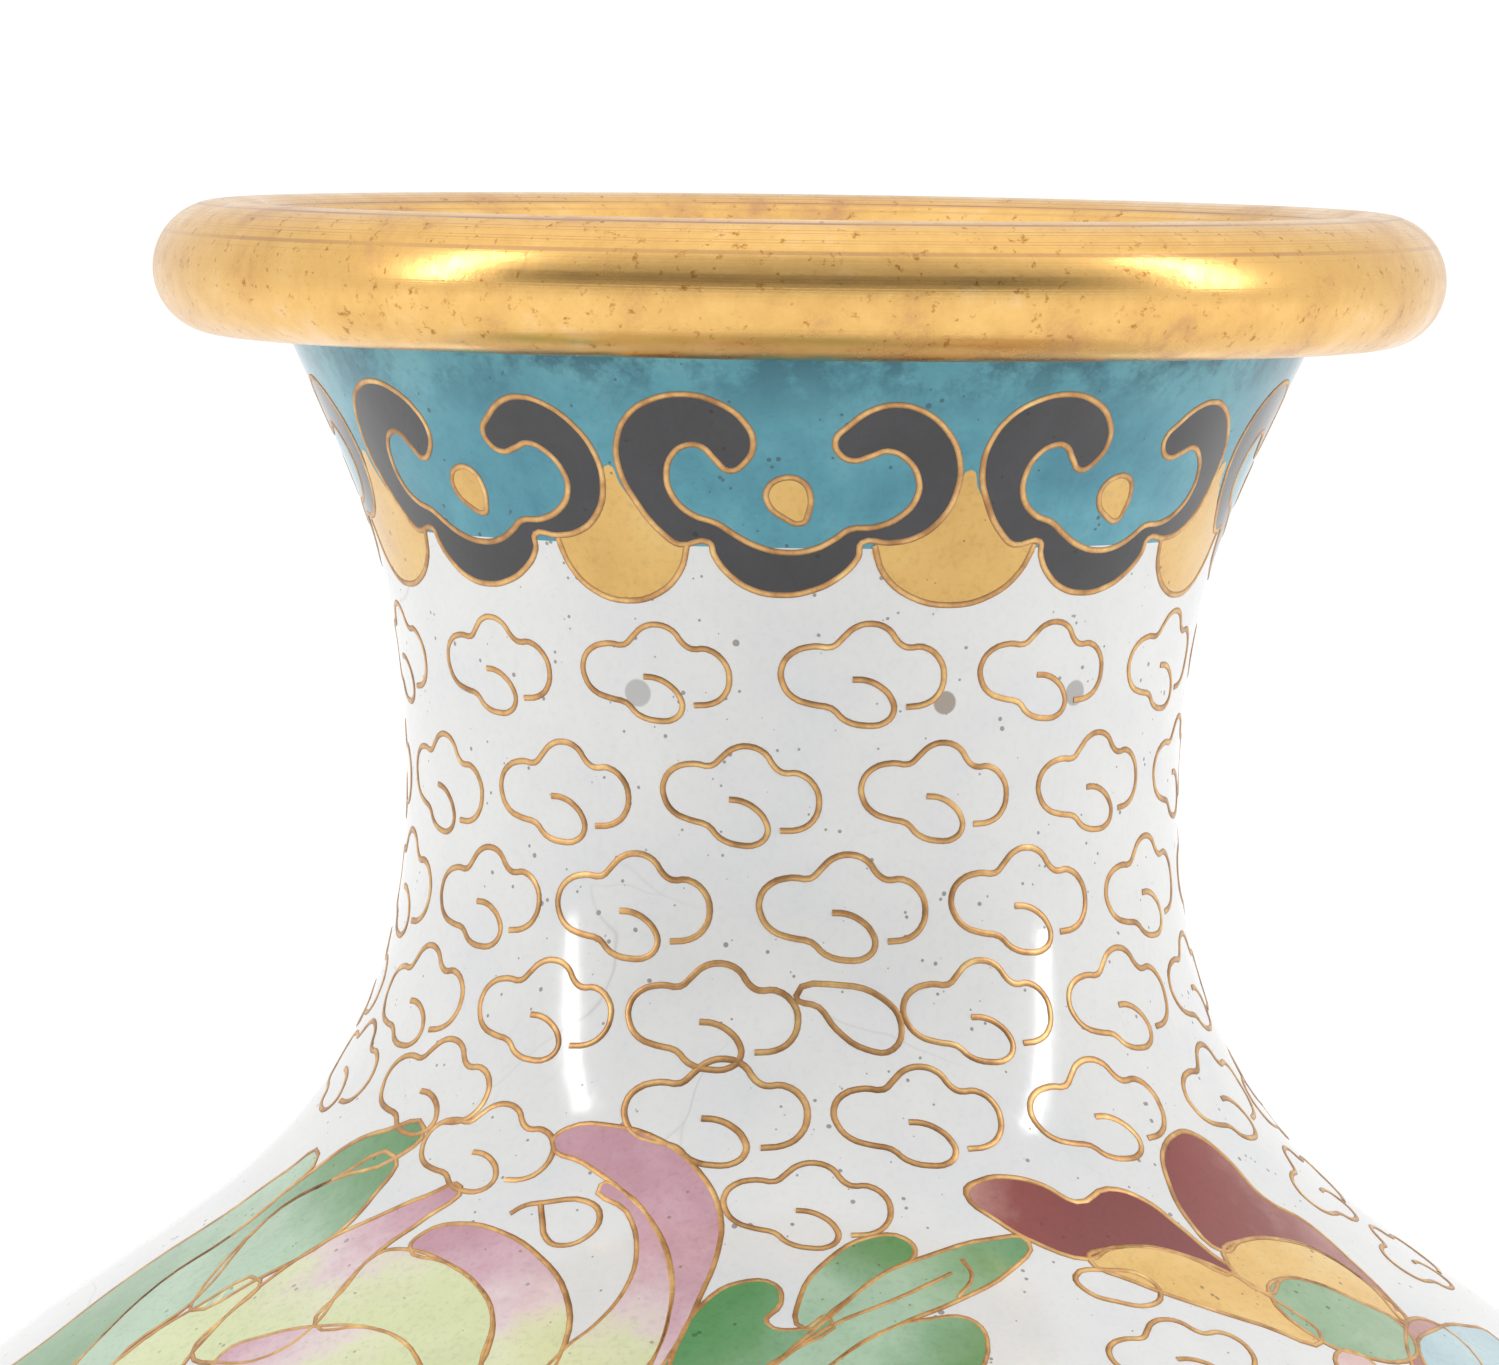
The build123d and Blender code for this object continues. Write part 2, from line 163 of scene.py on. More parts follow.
def spun_piece(name, section, steps):
    """A closed section of radius and height, spun round the vase's axis."""
    deselect()
    bpy.ops.mesh.primitive_circle_add(vertices=len(section), radius=1)
    piece = bpy.context.object
    piece.name = piece.data.name = name
    for vertex, (radius, height) in zip(piece.data.vertices, section):
        vertex.co = (radius, 0, height)
    bpy.ops.object.mode_set(mode="EDIT")
    bpy.ops.mesh.select_all(action="SELECT")
    bpy.ops.mesh.spin(steps=steps, angle=2 * pi, center=(0, 0, 0), axis=(0, 0, 1))
    bpy.ops.mesh.select_all(action="SELECT")
    bpy.ops.mesh.remove_doubles(threshold=MERGE_DISTANCE)
    bpy.ops.mesh.normals_make_consistent(inside=False)
    bpy.ops.object.mode_set(mode="OBJECT")
    bpy.ops.object.shade_smooth_by_angle(angle=SHARP_ANGLE)
    return piece


ENAMEL_DEPTH = 0.0008


def skin_section(top, bottom, spans, lift=0.0):
    """The section of an enamel skin of the wall between two heights."""
    runs = np.linspace(run_at(top), run_at(bottom), spans)
    outside = on_wall(90, runs, 0, 0, lift)
    inside = on_wall(90, runs[::-1], 0, 0, lift - ENAMEL_DEPTH)
    return [(p[0], p[2]) for p in (*outside, *inside)]


COLLAR_RAISE = 0.0003
collar_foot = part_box("collar_ground_enamel")[0].z + COLLAR_RAISE
ground_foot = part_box("white_ground_enamel")[0].z
white_ground = spun_piece("white_ground", skin_section(collar_foot, ground_foot, 150), 256)
COLOUR_FIRST = 6
COLOUR_SECOND = 7
COLOUR_OUT = 2


def new_material(name):
    material = bpy.data.materials.new(name)
    material.use_nodes = True
    nodes = material.node_tree.nodes
    return material, nodes, material.node_tree.links, nodes["Principled BSDF"]


def noise(nodes, links, place, scale, detail=2.0, roughness=0.5):
    node = nodes.new("ShaderNodeTexNoise")
    node.inputs["Scale"].default_value = scale
    node.inputs["Detail"].default_value = detail
    node.inputs["Roughness"].default_value = roughness
    links.new(place, node.inputs["Vector"])
    return node.outputs["Fac"]


def ramp(nodes, links, value, *stops):
    """A colour ramp through (place, colour) stops."""
    node = nodes.new("ShaderNodeValToRGB")
    while len(node.color_ramp.elements) < len(stops):
        node.color_ramp.elements.new(0.5)
    for element, (place, colour) in zip(node.color_ramp.elements, stops):
        element.position = place
        element.color = (*colour, 1)
    links.new(value, node.inputs["Fac"])
    return node.outputs["Color"]


def mixed(nodes, links, factor, first, second, blend="MIX"):
    """Two colours mixed; each may be a socket or a plain colour, and the factor a socket or number."""
    node = nodes.new("ShaderNodeMix")
    node.data_type = "RGBA"
    node.blend_type = blend
    sockets = (node.inputs["Factor"], node.inputs[COLOUR_FIRST], node.inputs[COLOUR_SECOND])
    for socket, value in zip(sockets, (factor, first, second)):
        if isinstance(value, bpy.types.NodeSocket):
            links.new(value, socket)
        elif isinstance(value, tuple):
            socket.default_value = (*value, 1)
        else:
            socket.default_value = value
    return node.outputs[COLOUR_OUT]


def enamel_material(name, base, deep, pale, speck, seed, grain_depth=0.90):
    """Glossy glass enamel: clouded colour, fine specks and pits, and a hand-ground ripple."""
    material, nodes, links, shader = new_material(name)
    place = nodes.new("ShaderNodeTexCoord").outputs["Object"]
    shift = nodes.new("ShaderNodeMapping")
    shift.inputs["Location"].default_value = (seed, seed * 0.7, seed * 1.3)
    links.new(place, shift.inputs["Vector"])
    place = shift.outputs["Vector"]
    clouds = noise(nodes, links, place, 160, 4, 0.6)
    colour = ramp(nodes, links, clouds, (0.30, deep), (0.5, base), (0.72, pale))
    grain = noise(nodes, links, place, 2600, 2, 0.6)
    grain_dark = ramp(nodes, links, grain, (0.30, (grain_depth,) * 3), (0.50, (1, 1, 1)))
    colour = mixed(nodes, links, 1.0, colour, grain_dark, "MULTIPLY")
    dots = nodes.new("ShaderNodeTexVoronoi")
    dots.inputs["Scale"].default_value = 1500
    links.new(place, dots.inputs["Vector"])
    patches = noise(nodes, links, place, 700, 1, 0.5)
    near = nodes.new("ShaderNodeMath")
    near.operation = "SUBTRACT"
    links.new(dots.outputs["Distance"], near.inputs[0])
    links.new(patches, near.inputs[1])
    lowered = nodes.new("ShaderNodeMath")
    lowered.operation = "ADD"
    lowered.inputs[1].default_value = 0.52
    links.new(near.outputs[0], lowered.inputs[0])
    dot_mask = ramp(nodes, links, lowered.outputs[0], (0.0, (1, 1, 1)), (0.05, (0, 0, 0)))
    fade = nodes.new("ShaderNodeMath")
    fade.operation = "MULTIPLY"
    fade.inputs[1].default_value = 0.75
    links.new(dot_mask, fade.inputs[0])
    colour = mixed(nodes, links, fade.outputs[0], colour, speck)
    links.new(colour, shader.inputs["Base Color"])
    shader.inputs["Roughness"].default_value = 0.12
    shader.inputs["IOR"].default_value = 1.52
    shader.inputs["Coat Weight"].default_value = 0.12
    shader.inputs["Coat Roughness"].default_value = 0.03
    ripple = noise(nodes, links, place, 220, 3, 0.5)
    height = mixed(nodes, links, 0.12, ripple, dot_mask, "SUBTRACT")
    bump = nodes.new("ShaderNodeBump")
    bump.inputs["Strength"].default_value = 0.18
    bump.inputs["Distance"].default_value = 0.0002
    links.new(height, bump.inputs["Height"])
    links.new(bump.outputs["Normal"], shader.inputs["Normal"])
    return material


# Hairline cracks and a few grey or brown filled pits mark the white ground.
white_enamel = enamel_material(
    "white_enamel", (0.74, 0.745, 0.74), (0.70, 0.715, 0.72), (0.77, 0.77, 0.755), (0.17, 0.15, 0.14),
    0.0, grain_depth=0.965,
)
PATCHES = [
    # turn, height, radius, colour
    (21.8, 0.2032, 0.00068, (0.36, 0.31, 0.26)),
    (-22.5, 0.2035, 0.00080, (0.47, 0.47, 0.46)),
    (44.0, 0.2035, 0.00075, (0.42, 0.41, 0.40)),
    (163.0, 0.151, 0.0008, (0.40, 0.36, 0.31)),
]
CRACK_COLOUR = (0.42, 0.40, 0.38)


def mark_white_enamel():
    """Add the filled pits and the hairline cracks to the white enamel's colour."""
    nodes, links = white_enamel.node_tree.nodes, white_enamel.node_tree.links
    shader = nodes["Principled BSDF"]
    colour = shader.inputs["Base Color"].links[0].from_socket
    place = nodes.new("ShaderNodeTexCoord").outputs["Object"]
    for turn, height, reach, patch_colour in PATCHES:
        away = nodes.new("ShaderNodeVectorMath")
        away.operation = "DISTANCE"
        away.inputs[1].default_value = tuple(on_wall(turn, run_at(height), 0, 0, 0))
        links.new(place, away.inputs[0])
        inside = nodes.new("ShaderNodeMapRange")
        inside.inputs["From Min"].default_value = reach
        inside.inputs["From Max"].default_value = reach * 0.86
        links.new(away.outputs["Value"], inside.inputs["Value"])
        colour = mixed(nodes, links, inside.outputs["Result"], colour, patch_colour)
    wander = nodes.new("ShaderNodeTexNoise")
    wander.inputs["Scale"].default_value = 130
    links.new(place, wander.inputs["Vector"])
    bent = nodes.new("ShaderNodeVectorMath")
    bent.operation = "MULTIPLY_ADD"
    bent.inputs[1].default_value = (0.004, 0.004, 0.004)
    links.new(wander.outputs["Color"], bent.inputs[0])
    links.new(place, bent.inputs[2])
    cracks = nodes.new("ShaderNodeTexVoronoi")
    cracks.feature = "DISTANCE_TO_EDGE"
    cracks.inputs["Scale"].default_value = 62
    links.new(bent.outputs["Vector"], cracks.inputs["Vector"])
    hairline = ramp(nodes, links, cracks.outputs["Distance"], (0.0, (1, 1, 1)), (0.005, (0, 0, 0)))
    where = noise(nodes, links, place, 36, 2, 0.5)
    crazed = ramp(nodes, links, where, (0.56, (0, 0, 0)), (0.66, (0.42, 0.42, 0.42)))
    hairline = mixed(nodes, links, 1.0, hairline, crazed, "MULTIPLY")
    links.new(mixed(nodes, links, hairline, colour, CRACK_COLOUR), shader.inputs["Base Color"])


mark_white_enamel()
white_ground.data.materials.append(white_enamel)
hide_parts("white_ground_enamel")
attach(white_ground, "root")


# Collar ground: turquoise enamel on the flare under the rim, mottled where it pooled and darker
# along the rim.
collar_ground = spun_piece("collar_ground", skin_section(wall_top, collar_foot, 30), 256)
turquoise_enamel = enamel_material(
    "turquoise_enamel", (0.075, 0.31, 0.39), (0.045, 0.23, 0.31), (0.13, 0.39, 0.47), (0.03, 0.08, 0.10), 3.0
)
DARKENED_DEPTH = 0.0036


def darken_turquoise_under_rim():
    """Darken the turquoise enamel in blots just under the rim."""
    nodes, links = turquoise_enamel.node_tree.nodes, turquoise_enamel.node_tree.links
    shader = nodes["Principled BSDF"]
    colour = shader.inputs["Base Color"].links[0].from_socket
    place = nodes.new("ShaderNodeTexCoord").outputs["Object"]
    split = nodes.new("ShaderNodeSeparateXYZ")
    links.new(place, split.inputs["Vector"])
    near_rim = nodes.new("ShaderNodeMapRange")
    near_rim.inputs["From Min"].default_value = wall_top - DARKENED_DEPTH
    near_rim.inputs["From Max"].default_value = wall_top
    links.new(split.outputs["Z"], near_rim.inputs["Value"])
    blots = noise(nodes, links, place, 240, 5, 0.7)
    dark_blots = ramp(nodes, links, blots, (0.44, (0.08, 0.08, 0.08)), (0.56, (1, 1, 1)))
    dark_blots = mixed(nodes, links, 1.0, dark_blots, near_rim.outputs["Result"], "MULTIPLY")
    # Blots of darker turquoise, strongest at the rim and gone a few millimetres below it.
    colour = mixed(nodes, links, dark_blots, colour, (0.012, 0.12, 0.17))
    links.new(colour, shader.inputs["Base Color"])


darken_turquoise_under_rim()
collar_ground.data.materials.append(turquoise_enamel)
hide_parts("collar_ground_enamel")
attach(collar_ground, "root")


# Rim ring: a thick bead of turned brass soldered over the lip and polished, with fine turning
# lines on its crest and scratches round its side.
rim_low, rim_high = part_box("rim_ring")
rim_radius = (rim_high.z - rim_low.z) / 2
bead_middle = rim_high.x - rim_radius
rim_bore = 0.0259
rim_seat = 0.003
rim_edge = 0.0006
rim_section = [(rim_bore, rim_low.z), (rim_bore + rim_seat, rim_low.z)]
rim_section += [
    (bead_middle + rim_radius * cos(a), rim_high.z - rim_radius + rim_radius * sin(a))
    for a in np.linspace(-pi / 2, pi * 0.75, 60)
]
slope_drop = rim_section[-1][0] - rim_bore - rim_edge
slope_foot = rim_section[-1][1] - slope_drop
rim_section += [
    (rim_bore + rim_edge, slope_foot),
    (rim_bore + 0.00017, slope_foot - rim_edge),
    (rim_bore, slope_foot - 0.00145),
]
rim_ring = spun_piece("rim_ring_polished", rim_section, 256)


def brass_material(name, seed, worn, crest=None):
    """Turned and polished brass: clouded tarnish, dark flecks, rings round the axis and scratches."""
    material, nodes, links, shader = new_material(name)
    place = nodes.new("ShaderNodeTexCoord").outputs["Object"]
    shift = nodes.new("ShaderNodeMapping")
    shift.inputs["Location"].default_value = (seed, seed, seed)
    links.new(place, shift.inputs["Vector"])
    shifted = shift.outputs["Vector"]
    split = nodes.new("ShaderNodeSeparateXYZ")
    links.new(place, split.inputs["Vector"])
    flat = nodes.new("ShaderNodeCombineXYZ")
    links.new(split.outputs["X"], flat.inputs["X"])
    links.new(split.outputs["Y"], flat.inputs["Y"])
    radius = nodes.new("ShaderNodeVectorMath")
    radius.operation = "LENGTH"
    links.new(flat.outputs["Vector"], radius.inputs[0])
    section = nodes.new("ShaderNodeCombineXYZ")
    links.new(radius.outputs["Value"], section.inputs["X"])
    links.new(split.outputs["Z"], section.inputs["Z"])
    rings = noise(nodes, links, section.outputs["Vector"], 3200, 4, 0.75)
    broken = noise(nodes, links, shifted, 75, 3, 0.6)
    tarnish = noise(nodes, links, shifted, 150, 6, 0.72)
    colour = ramp(
        nodes, links, tarnish,
        (0.30, (0.58, 0.32, 0.14)), (0.44, (0.74, 0.44, 0.145)), (0.58, (0.81, 0.50, 0.17)),
        (0.74, (0.85, 0.58, 0.30)),
    )
    spots = noise(nodes, links, shifted, 1500, 3, 0.7)
    flecks = ramp(nodes, links, spots, (0.29, (0.60, 0.46, 0.35)), (0.40, (1, 1, 1)))
    colour = mixed(nodes, links, 1.0, colour, flecks, "MULTIPLY")
    if crest:
        high = nodes.new("ShaderNodeMapRange")
        high.inputs["From Min"].default_value = crest - 0.0026
        high.inputs["From Max"].default_value = crest - 0.0008
        links.new(split.outputs["Z"], high.inputs["Value"])
        lines = ramp(nodes, links, rings, (0.40, (1, 1, 1)), (0.47, (0, 0, 0)))
        where = ramp(nodes, links, broken, (0.34, (0.3, 0.3, 0.3)), (0.56, (1, 1, 1)))
        lines = mixed(nodes, links, 1.0, lines, high.outputs["Result"], "MULTIPLY")
        lines = mixed(nodes, links, 1.0, lines, where, "MULTIPLY")
        colour = mixed(nodes, links, lines, colour, (0.42, 0.22, 0.13))
    links.new(colour, shader.inputs["Base Color"])
    shader.inputs["Metallic"].default_value = 1.0
    rough = ramp(nodes, links, tarnish, (0.35, (worn + 0.14,) * 3), (0.65, (worn,) * 3))
    links.new(rough, shader.inputs["Roughness"])
    grain = mixed(nodes, links, 0.5, rings, noise(nodes, links, shifted, 900, 4, 0.7))
    bump = nodes.new("ShaderNodeBump")
    bump.inputs["Strength"].default_value = 0.16
    bump.inputs["Distance"].default_value = 0.00016
    links.new(grain, bump.inputs["Height"])
    links.new(bump.outputs["Normal"], shader.inputs["Normal"])
    return material


rim_brass = brass_material("rim_brass", 0.0, 0.17, rim_high.z)
rim_ring.data.materials.append(rim_brass)
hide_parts("rim_ring")
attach(rim_ring, "root")


# Cloud wires: each a single length of thin brass strip bent by hand into an open scroll and set
# on edge in the white ground, in staggered rows round the neck.
MM = 0.001
WIRE_WIDTH = 0.00042
CELL_PROUD = 0.00002
CELL_SINK = 0.00012
CLOUD = [
    (-0.60, -0.32), (0.10, -0.36), (0.92, -0.72), (1.52, -1.35), (1.68, -2.02), (1.25, -2.62),
    (0.15, -2.80), (-0.97, -2.50), (-1.68, -1.88), (-2.74, -1.66), (-3.73, -1.30), (-4.30, -0.57),
    (-4.40, 0.28), (-3.87, 1.10), (-2.74, 1.48), (-1.75, 1.46), (-1.18, 1.98), (-0.62, 2.50),
    (0.30, 2.73), (1.22, 2.41), (1.80, 1.70), (2.30, 1.42), (3.14, 1.45), (4.06, 0.85),
    (4.41, -0.14), (4.13, -1.13), (3.42, -1.66), (2.36, -1.81),
]


def flat_line(points, closed=True, spans=4):
    """Spots in metres along a smooth line drawn through points in millimetres."""
    deselect()
    bpy.ops.curve.primitive_bezier_curve_add(radius=1)
    curve = bpy.context.object.data
    curve.splines.clear()
    curve.dimensions = "2D"
    curve.fill_mode = "NONE"
    curve.resolution_u = spans
    spline = curve.splines.new("BEZIER")
    spline.use_cyclic_u = closed
    spline.bezier_points.add(len(points) - 1)
    for knot, (x, y) in zip(spline.bezier_points, points):
        knot.co = (x * MM, y * MM, 0)
        knot.handle_left_type = knot.handle_right_type = "AUTO"
    bpy.ops.object.convert(target="MESH")
    spots = np.array([v.co[:2] for v in bpy.context.object.data.vertices])
    bpy.ops.object.delete()
    return spots


# Each wire's section: share across, rise and how near the edge it is, which the wire material uses to paint
# shade on the wire's sloping sides.
FINE_ARCH = (
    (-1.0, -1.0, 1.0), (-0.80, 0.3, 0.8), (-0.25, 1.0, 0.0),
    (0.25, 1.0, 0.0), (0.80, 0.3, 0.8), (1.0, -1.0, 1.0),
)
PLAIN_ARCH = ((-1.0, -1.0, 1.0), (-0.35, 1.0, 0.1), (0.35, 1.0, 0.1), (1.0, -1.0, 1.0))


def wire_round(points, closed=True, spans=4, arch=FINE_ARCH):
    """A flat wire along a smooth line: a low arched strip, closed underneath.

    Its spots are x, y, lift and how near they are to the wire's edge.
    """
    line = flat_line(points, closed, spans)
    if closed:
        along = np.roll(line, -1, axis=0) - np.roll(line, 1, axis=0)
    else:
        along = np.gradient(line, axis=0)
    along /= np.linalg.norm(along, axis=1)[:, None]
    side = np.stack([along[:, 1], -along[:, 0]], axis=1) * WIRE_WIDTH / 2
    rows = []
    for across, rise, edge in arch:
        lift = rise * (WIRE_PROUD if rise > 0 else CELL_SINK)
        level = np.full((len(line), 2), (lift, edge))
        rows.append(np.column_stack([line + side * across, level]))
    spots = np.stack(rows, axis=1).reshape(-1, 4)
    n, k = len(line), len(arch)
    faces = []
    for i in range(n if closed else n - 1):
        ahead = (i + 1) % n
        for j in range(k):
            beside = (j + 1) % k
            faces.append([i * k + j, ahead * k + j, ahead * k + beside, i * k + beside])
    if not closed:
        faces += [list(range(k)), [(n - 1) * k + j for j in reversed(range(k))]]
    return spots, faces


def join_laid(name, parts):
    """One piece from many flat parts already laid on the wall, given as vertices and faces."""
    spots, faces, start = [], [], 0
    for part_spots, part_faces in parts:
        spots.append(part_spots)
        faces += [[start + v for v in face] for face in part_faces]
        start += len(part_spots)
    mesh = bpy.data.meshes.new(name)
    spots = np.concatenate(spots)
    mesh.from_pydata(spots[:, :3].tolist(), [], faces)
    mesh.update()
    mesh.attributes.new("fade", "FLOAT", "POINT").data.foreach_set("value", spots[:, 3].astype(np.float32))
    piece = bpy.data.objects.new(name, mesh)
    bpy.context.scene.collection.objects.link(piece)
    deselect()
    piece.select_set(True)
    bpy.context.view_layer.objects.active = piece
    bpy.ops.object.mode_set(mode="EDIT")
    bpy.ops.mesh.select_all(action="SELECT")
    bpy.ops.mesh.normals_make_consistent(inside=False)
    bpy.ops.object.mode_set(mode="OBJECT")
    bpy.ops.object.shade_smooth_by_angle(angle=SHARP_ANGLE)
    return piece


def laid(flat, turn, height, tilt=0.0, size=1.0):
    """A flat part turned by tilt, scaled and laid on the wall round a place."""
    spots, faces = flat
    c, s = cos(radians(tilt)) * size, sin(radians(tilt)) * size
    x, y, lift, fade = spots.T
    placed = on_wall(turn, run_at(height), x * c - y * s, x * s + y * c, lift)
    return np.column_stack([placed, fade]), faces


def wire_brass_material():
    """Gilding worn brown with bright rubbed spots, and painted shade darkening the wires' sloping edges."""
    material, nodes, links, shader = new_material("wire_brass")
    place = nodes.new("ShaderNodeTexCoord").outputs["Object"]
    rubbed = noise(nodes, links, place, 520, 4, 0.65)
    colour = ramp(
        nodes, links, rubbed,
        (0.34, (0.40, 0.21, 0.085)), (0.48, (0.60, 0.34, 0.135)), (0.60, (0.74, 0.46, 0.19)),
        (0.72, (0.90, 0.62, 0.26)),
    )
    # Painted shade: the wire's sloping sides are mixed towards dark brown by how near its edge they are,
    # standing for the shade on its rounded sides.
    edge = nodes.new("ShaderNodeAttribute")
    edge.attribute_name = "fade"
    worn = mixed(nodes, links, edge.outputs["Fac"], colour, (0.24, 0.115, 0.05))
    links.new(worn, shader.inputs["Base Color"])
    shader.inputs["Metallic"].default_value = 0.75
    shader.inputs["Roughness"].default_value = 0.38
    return material


wire_brass = wire_brass_material()
chance = np.random.default_rng(7)
NECK_CLOUDS = [
    # height, rise to the right, size, turns round the neck
    (0.20475, 0.0002, 0.97, (-78, -47.8, -20.0, 9.8, 38.0, 67.0, 97, 128, 159, 190, 221, 252)),
    (0.19830, 0.0005, 0.97, (-91, -63.2, -35.8, -7.5, 21.2, 49.5, 79, 110, 142, 174, 206, 237)),
    (0.19230, 0.0004, 1.00, (-78, -50.3, -23.5, 7.5, 35.5, 64.0, 94, 125, 156, 187, 218, 250)),
    (0.18660, 0.0004, 1.01, (-90, -62.5, -35.8, -10.5, 26.8, 53.0, 78, 107, 136, 165, 194, 223, 252)),
    (0.18160, -0.0003, 1.06, (-76, -51.0, -9.0, 16.2, 42.0, 70.2, 98, 126, 154, 182, 210, 238)),
]
cloud_wire = wire_round(CLOUD, closed=False, spans=3)
neck_parts = []
for height, rise, size, turns in NECK_CLOUDS:
    for turn in turns:
        place = (turn, height + rise * sin(radians(turn)))
        neck_parts.append(laid(cloud_wire, *place, chance.normal(0, 2.5), size * chance.normal(1, 0.025)))


def finish_piece(name, parts, material, slot, *nodes):
    """Join laid parts into one piece with its material, standing for CAD nodes."""
    piece = join_laid(name, parts)
    piece.data.materials.append(material)
    if nodes:
        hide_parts(*nodes)
    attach(piece, "root")


finish_piece("neck_cloud_scrolls", neck_parts, wire_brass, "wire_brass", "neck_cloud_wires")


# Collar heads: ruyi scrolls of black enamel, each held by a wire bent round it, eight round the
# flare.  Every one was bent by hand, so they differ a little in size and spacing.
RUYI_HEAD = [
    (-4.13, -2.72), (-5.70, -2.89), (-6.55, -2.36), (-8.06, -0.57), (-9.05, 1.43), (-9.15, 3.00),
    (-8.58, 4.43), (-7.40, 5.36), (-5.57, 5.79), (-3.73, 5.36), (-2.29, 4.22), (-1.83, 3.00),
    (-2.23, 1.93), (-3.08, 1.40), (-3.86, 2.07), (-4.52, 2.75), (-5.31, 2.85), (-6.09, 2.29),
    (-6.42, 1.14), (-6.09, -0.14), (-5.04, -1.17), (-3.73, -1.64), (-2.69, -2.32), (-1.51, -2.93),
    (-0.07, -3.22), (1.38, -3.00), (2.42, -2.43), (3.21, -1.86), (4.52, -1.72), (5.83, -1.14),
    (6.75, 0.00), (6.81, 1.14), (6.16, 2.22), (5.17, 2.68), (4.26, 2.36), (3.34, 2.10), (2.62, 2.50),
    (2.42, 3.29), (3.08, 4.08), (4.26, 5.01), (5.57, 5.36), (7.01, 5.01), (8.38, 3.79),
    (9.05, 2.15), (8.91, 0.29), (8.06, -1.29), (6.75, -2.29), (5.31, -2.60), (3.86, -2.60),
    (3.67, -3.43), (2.55, -4.65), (1.24, -5.32), (-0.20, -5.58), (-1.90, -5.29), (-3.21, -4.36),
    (-3.86, -3.43),
]
HEAD_HEIGHT = 0.2143
RUYI_PLACES = [(turn, HEAD_HEIGHT) for turn in (-1.0, 43.6, 89.0, 134.2, 179.1, 223.7, 268.6, 314.6)]


def enamel_in(points, spans=4, grid=0.9, proud=CELL_PROUD):
    """A flat enamel filling for a closed outline: a thin plate with a gridded top."""
    line = flat_line(points, True, spans)
    low, high = line.min(axis=0), line.max(axis=0)
    inner = [
        (x, y)
        for x in np.arange(low[0], high[0], grid * MM)
        for y in np.arange(low[1], high[1], grid * MM)
    ]
    loop = [Vector(p) for p in line]
    ring = list(range(len(loop)))
    spots, _, faces, *_ = delaunay_2d_cdt(loop + [Vector(p) for p in inner], [], [ring], 1, 1e-7)
    used = sorted({v for face in faces for v in face})
    number = {v: i for i, v in enumerate(used)}
    top = np.array([(spots[v][0], spots[v][1], proud, 0) for v in used])
    faces = [[number[v] for v in face] for face in faces]
    bottom = top * (1, 1, 0, 1) - (0, 0, CELL_SINK, 0)
    n = len(top)
    sides = dict.fromkeys((a, b) for face in faces for a, b in zip(face, face[1:] + face[:1]))
    walls = [[b, a, a + n, b + n] for a, b in sides if (b, a) not in sides]
    under = [[v + n for v in face[::-1]] for face in faces]
    return np.concatenate([top, bottom]), faces + under + walls


black_enamel = enamel_material(
    "black_enamel", (0.034, 0.032, 0.036), (0.026, 0.025, 0.028), (0.046, 0.044, 0.049),
    (0.005, 0.005, 0.005), 11.0,
)
head_filling = enamel_in(RUYI_HEAD)
head_wire = wire_round(RUYI_HEAD)
heads, head_wires = [], []
for turn, height in RUYI_PLACES:
    tilt, size = chance.normal(0, 1.2), 1.015 + abs(chance.normal(0, 0.012)) * (turn > 0)
    heads.append(laid(head_filling, turn, height, tilt, size))
    head_wires.append(laid(head_wire, turn, height, tilt, size))
finish_piece("ruyi_heads", heads, black_enamel, "black_enamel", "ruyi_enamel")
finish_piece("ruyi_head_wires", head_wires, wire_brass, "wire_brass", "ruyi_wires")


# Head dots: a drop of yellow enamel in a small bent wire, set in each head's turquoise pocket.
DOT = [
    (0.75, -1.45), (-0.3, -1.1), (-1.05, -0.35), (-1.1, 0.5), (-0.3, 1.15), (0.7, 1.0), (1.15, 0.2),
    (1.05, -0.9),
]
DOT_DROP = 0.0001
yellow_enamel = enamel_material(
    "yellow_enamel", (0.74, 0.45, 0.115), (0.66, 0.38, 0.09), (0.79, 0.52, 0.16), (0.16, 0.09, 0.03), 21.0
)
dot_filling, dot_wire = enamel_in(DOT), wire_round(DOT)
dots, dot_wires = [], []
for turn, height in RUYI_PLACES:
    dots.append(laid(dot_filling, turn, height - DOT_DROP))
    dot_wires.append(laid(dot_wire, turn, height - DOT_DROP))
finish_piece("ruyi_dots", dots, yellow_enamel, "yellow_enamel", "ruyi_dot_enamel")
finish_piece("ruyi_dot_wires_bent", dot_wires, wire_brass, "wire_brass", "ruyi_dot_wires")


# Collar lappets: yellow enamel between neighbouring heads, held below by a hanging loop of wire.
# Its upper edge is the heads' own wires, so the filling runs up under them.
LAPPET_FILL = [
    (0.0, 1.6), (-0.6, 0.4), (-1.9, -1.4), (-3.3, -2.6), (-4.6, -2.8), (-3.9, -4.4), (-2.3, -5.7),
    (0.0, -6.2), (2.3, -5.7), (3.9, -4.4), (4.6, -2.8), (3.3, -2.4), (1.9, -1.2), (0.6, 0.5),
]
LAPPET_HEM = [(-4.6, -2.8), (-3.9, -4.4), (-2.3, -5.7), (0.0, -6.2), (2.3, -5.7), (3.9, -4.4), (4.6, -2.8)]
LAPPET_WIDTHS = [1.0, 0.9, 0.95, 1.0, 0.9, 1.0, 0.95, 0.82]
lappets, hems = [], []
turns = [place[0] for place in RUYI_PLACES]
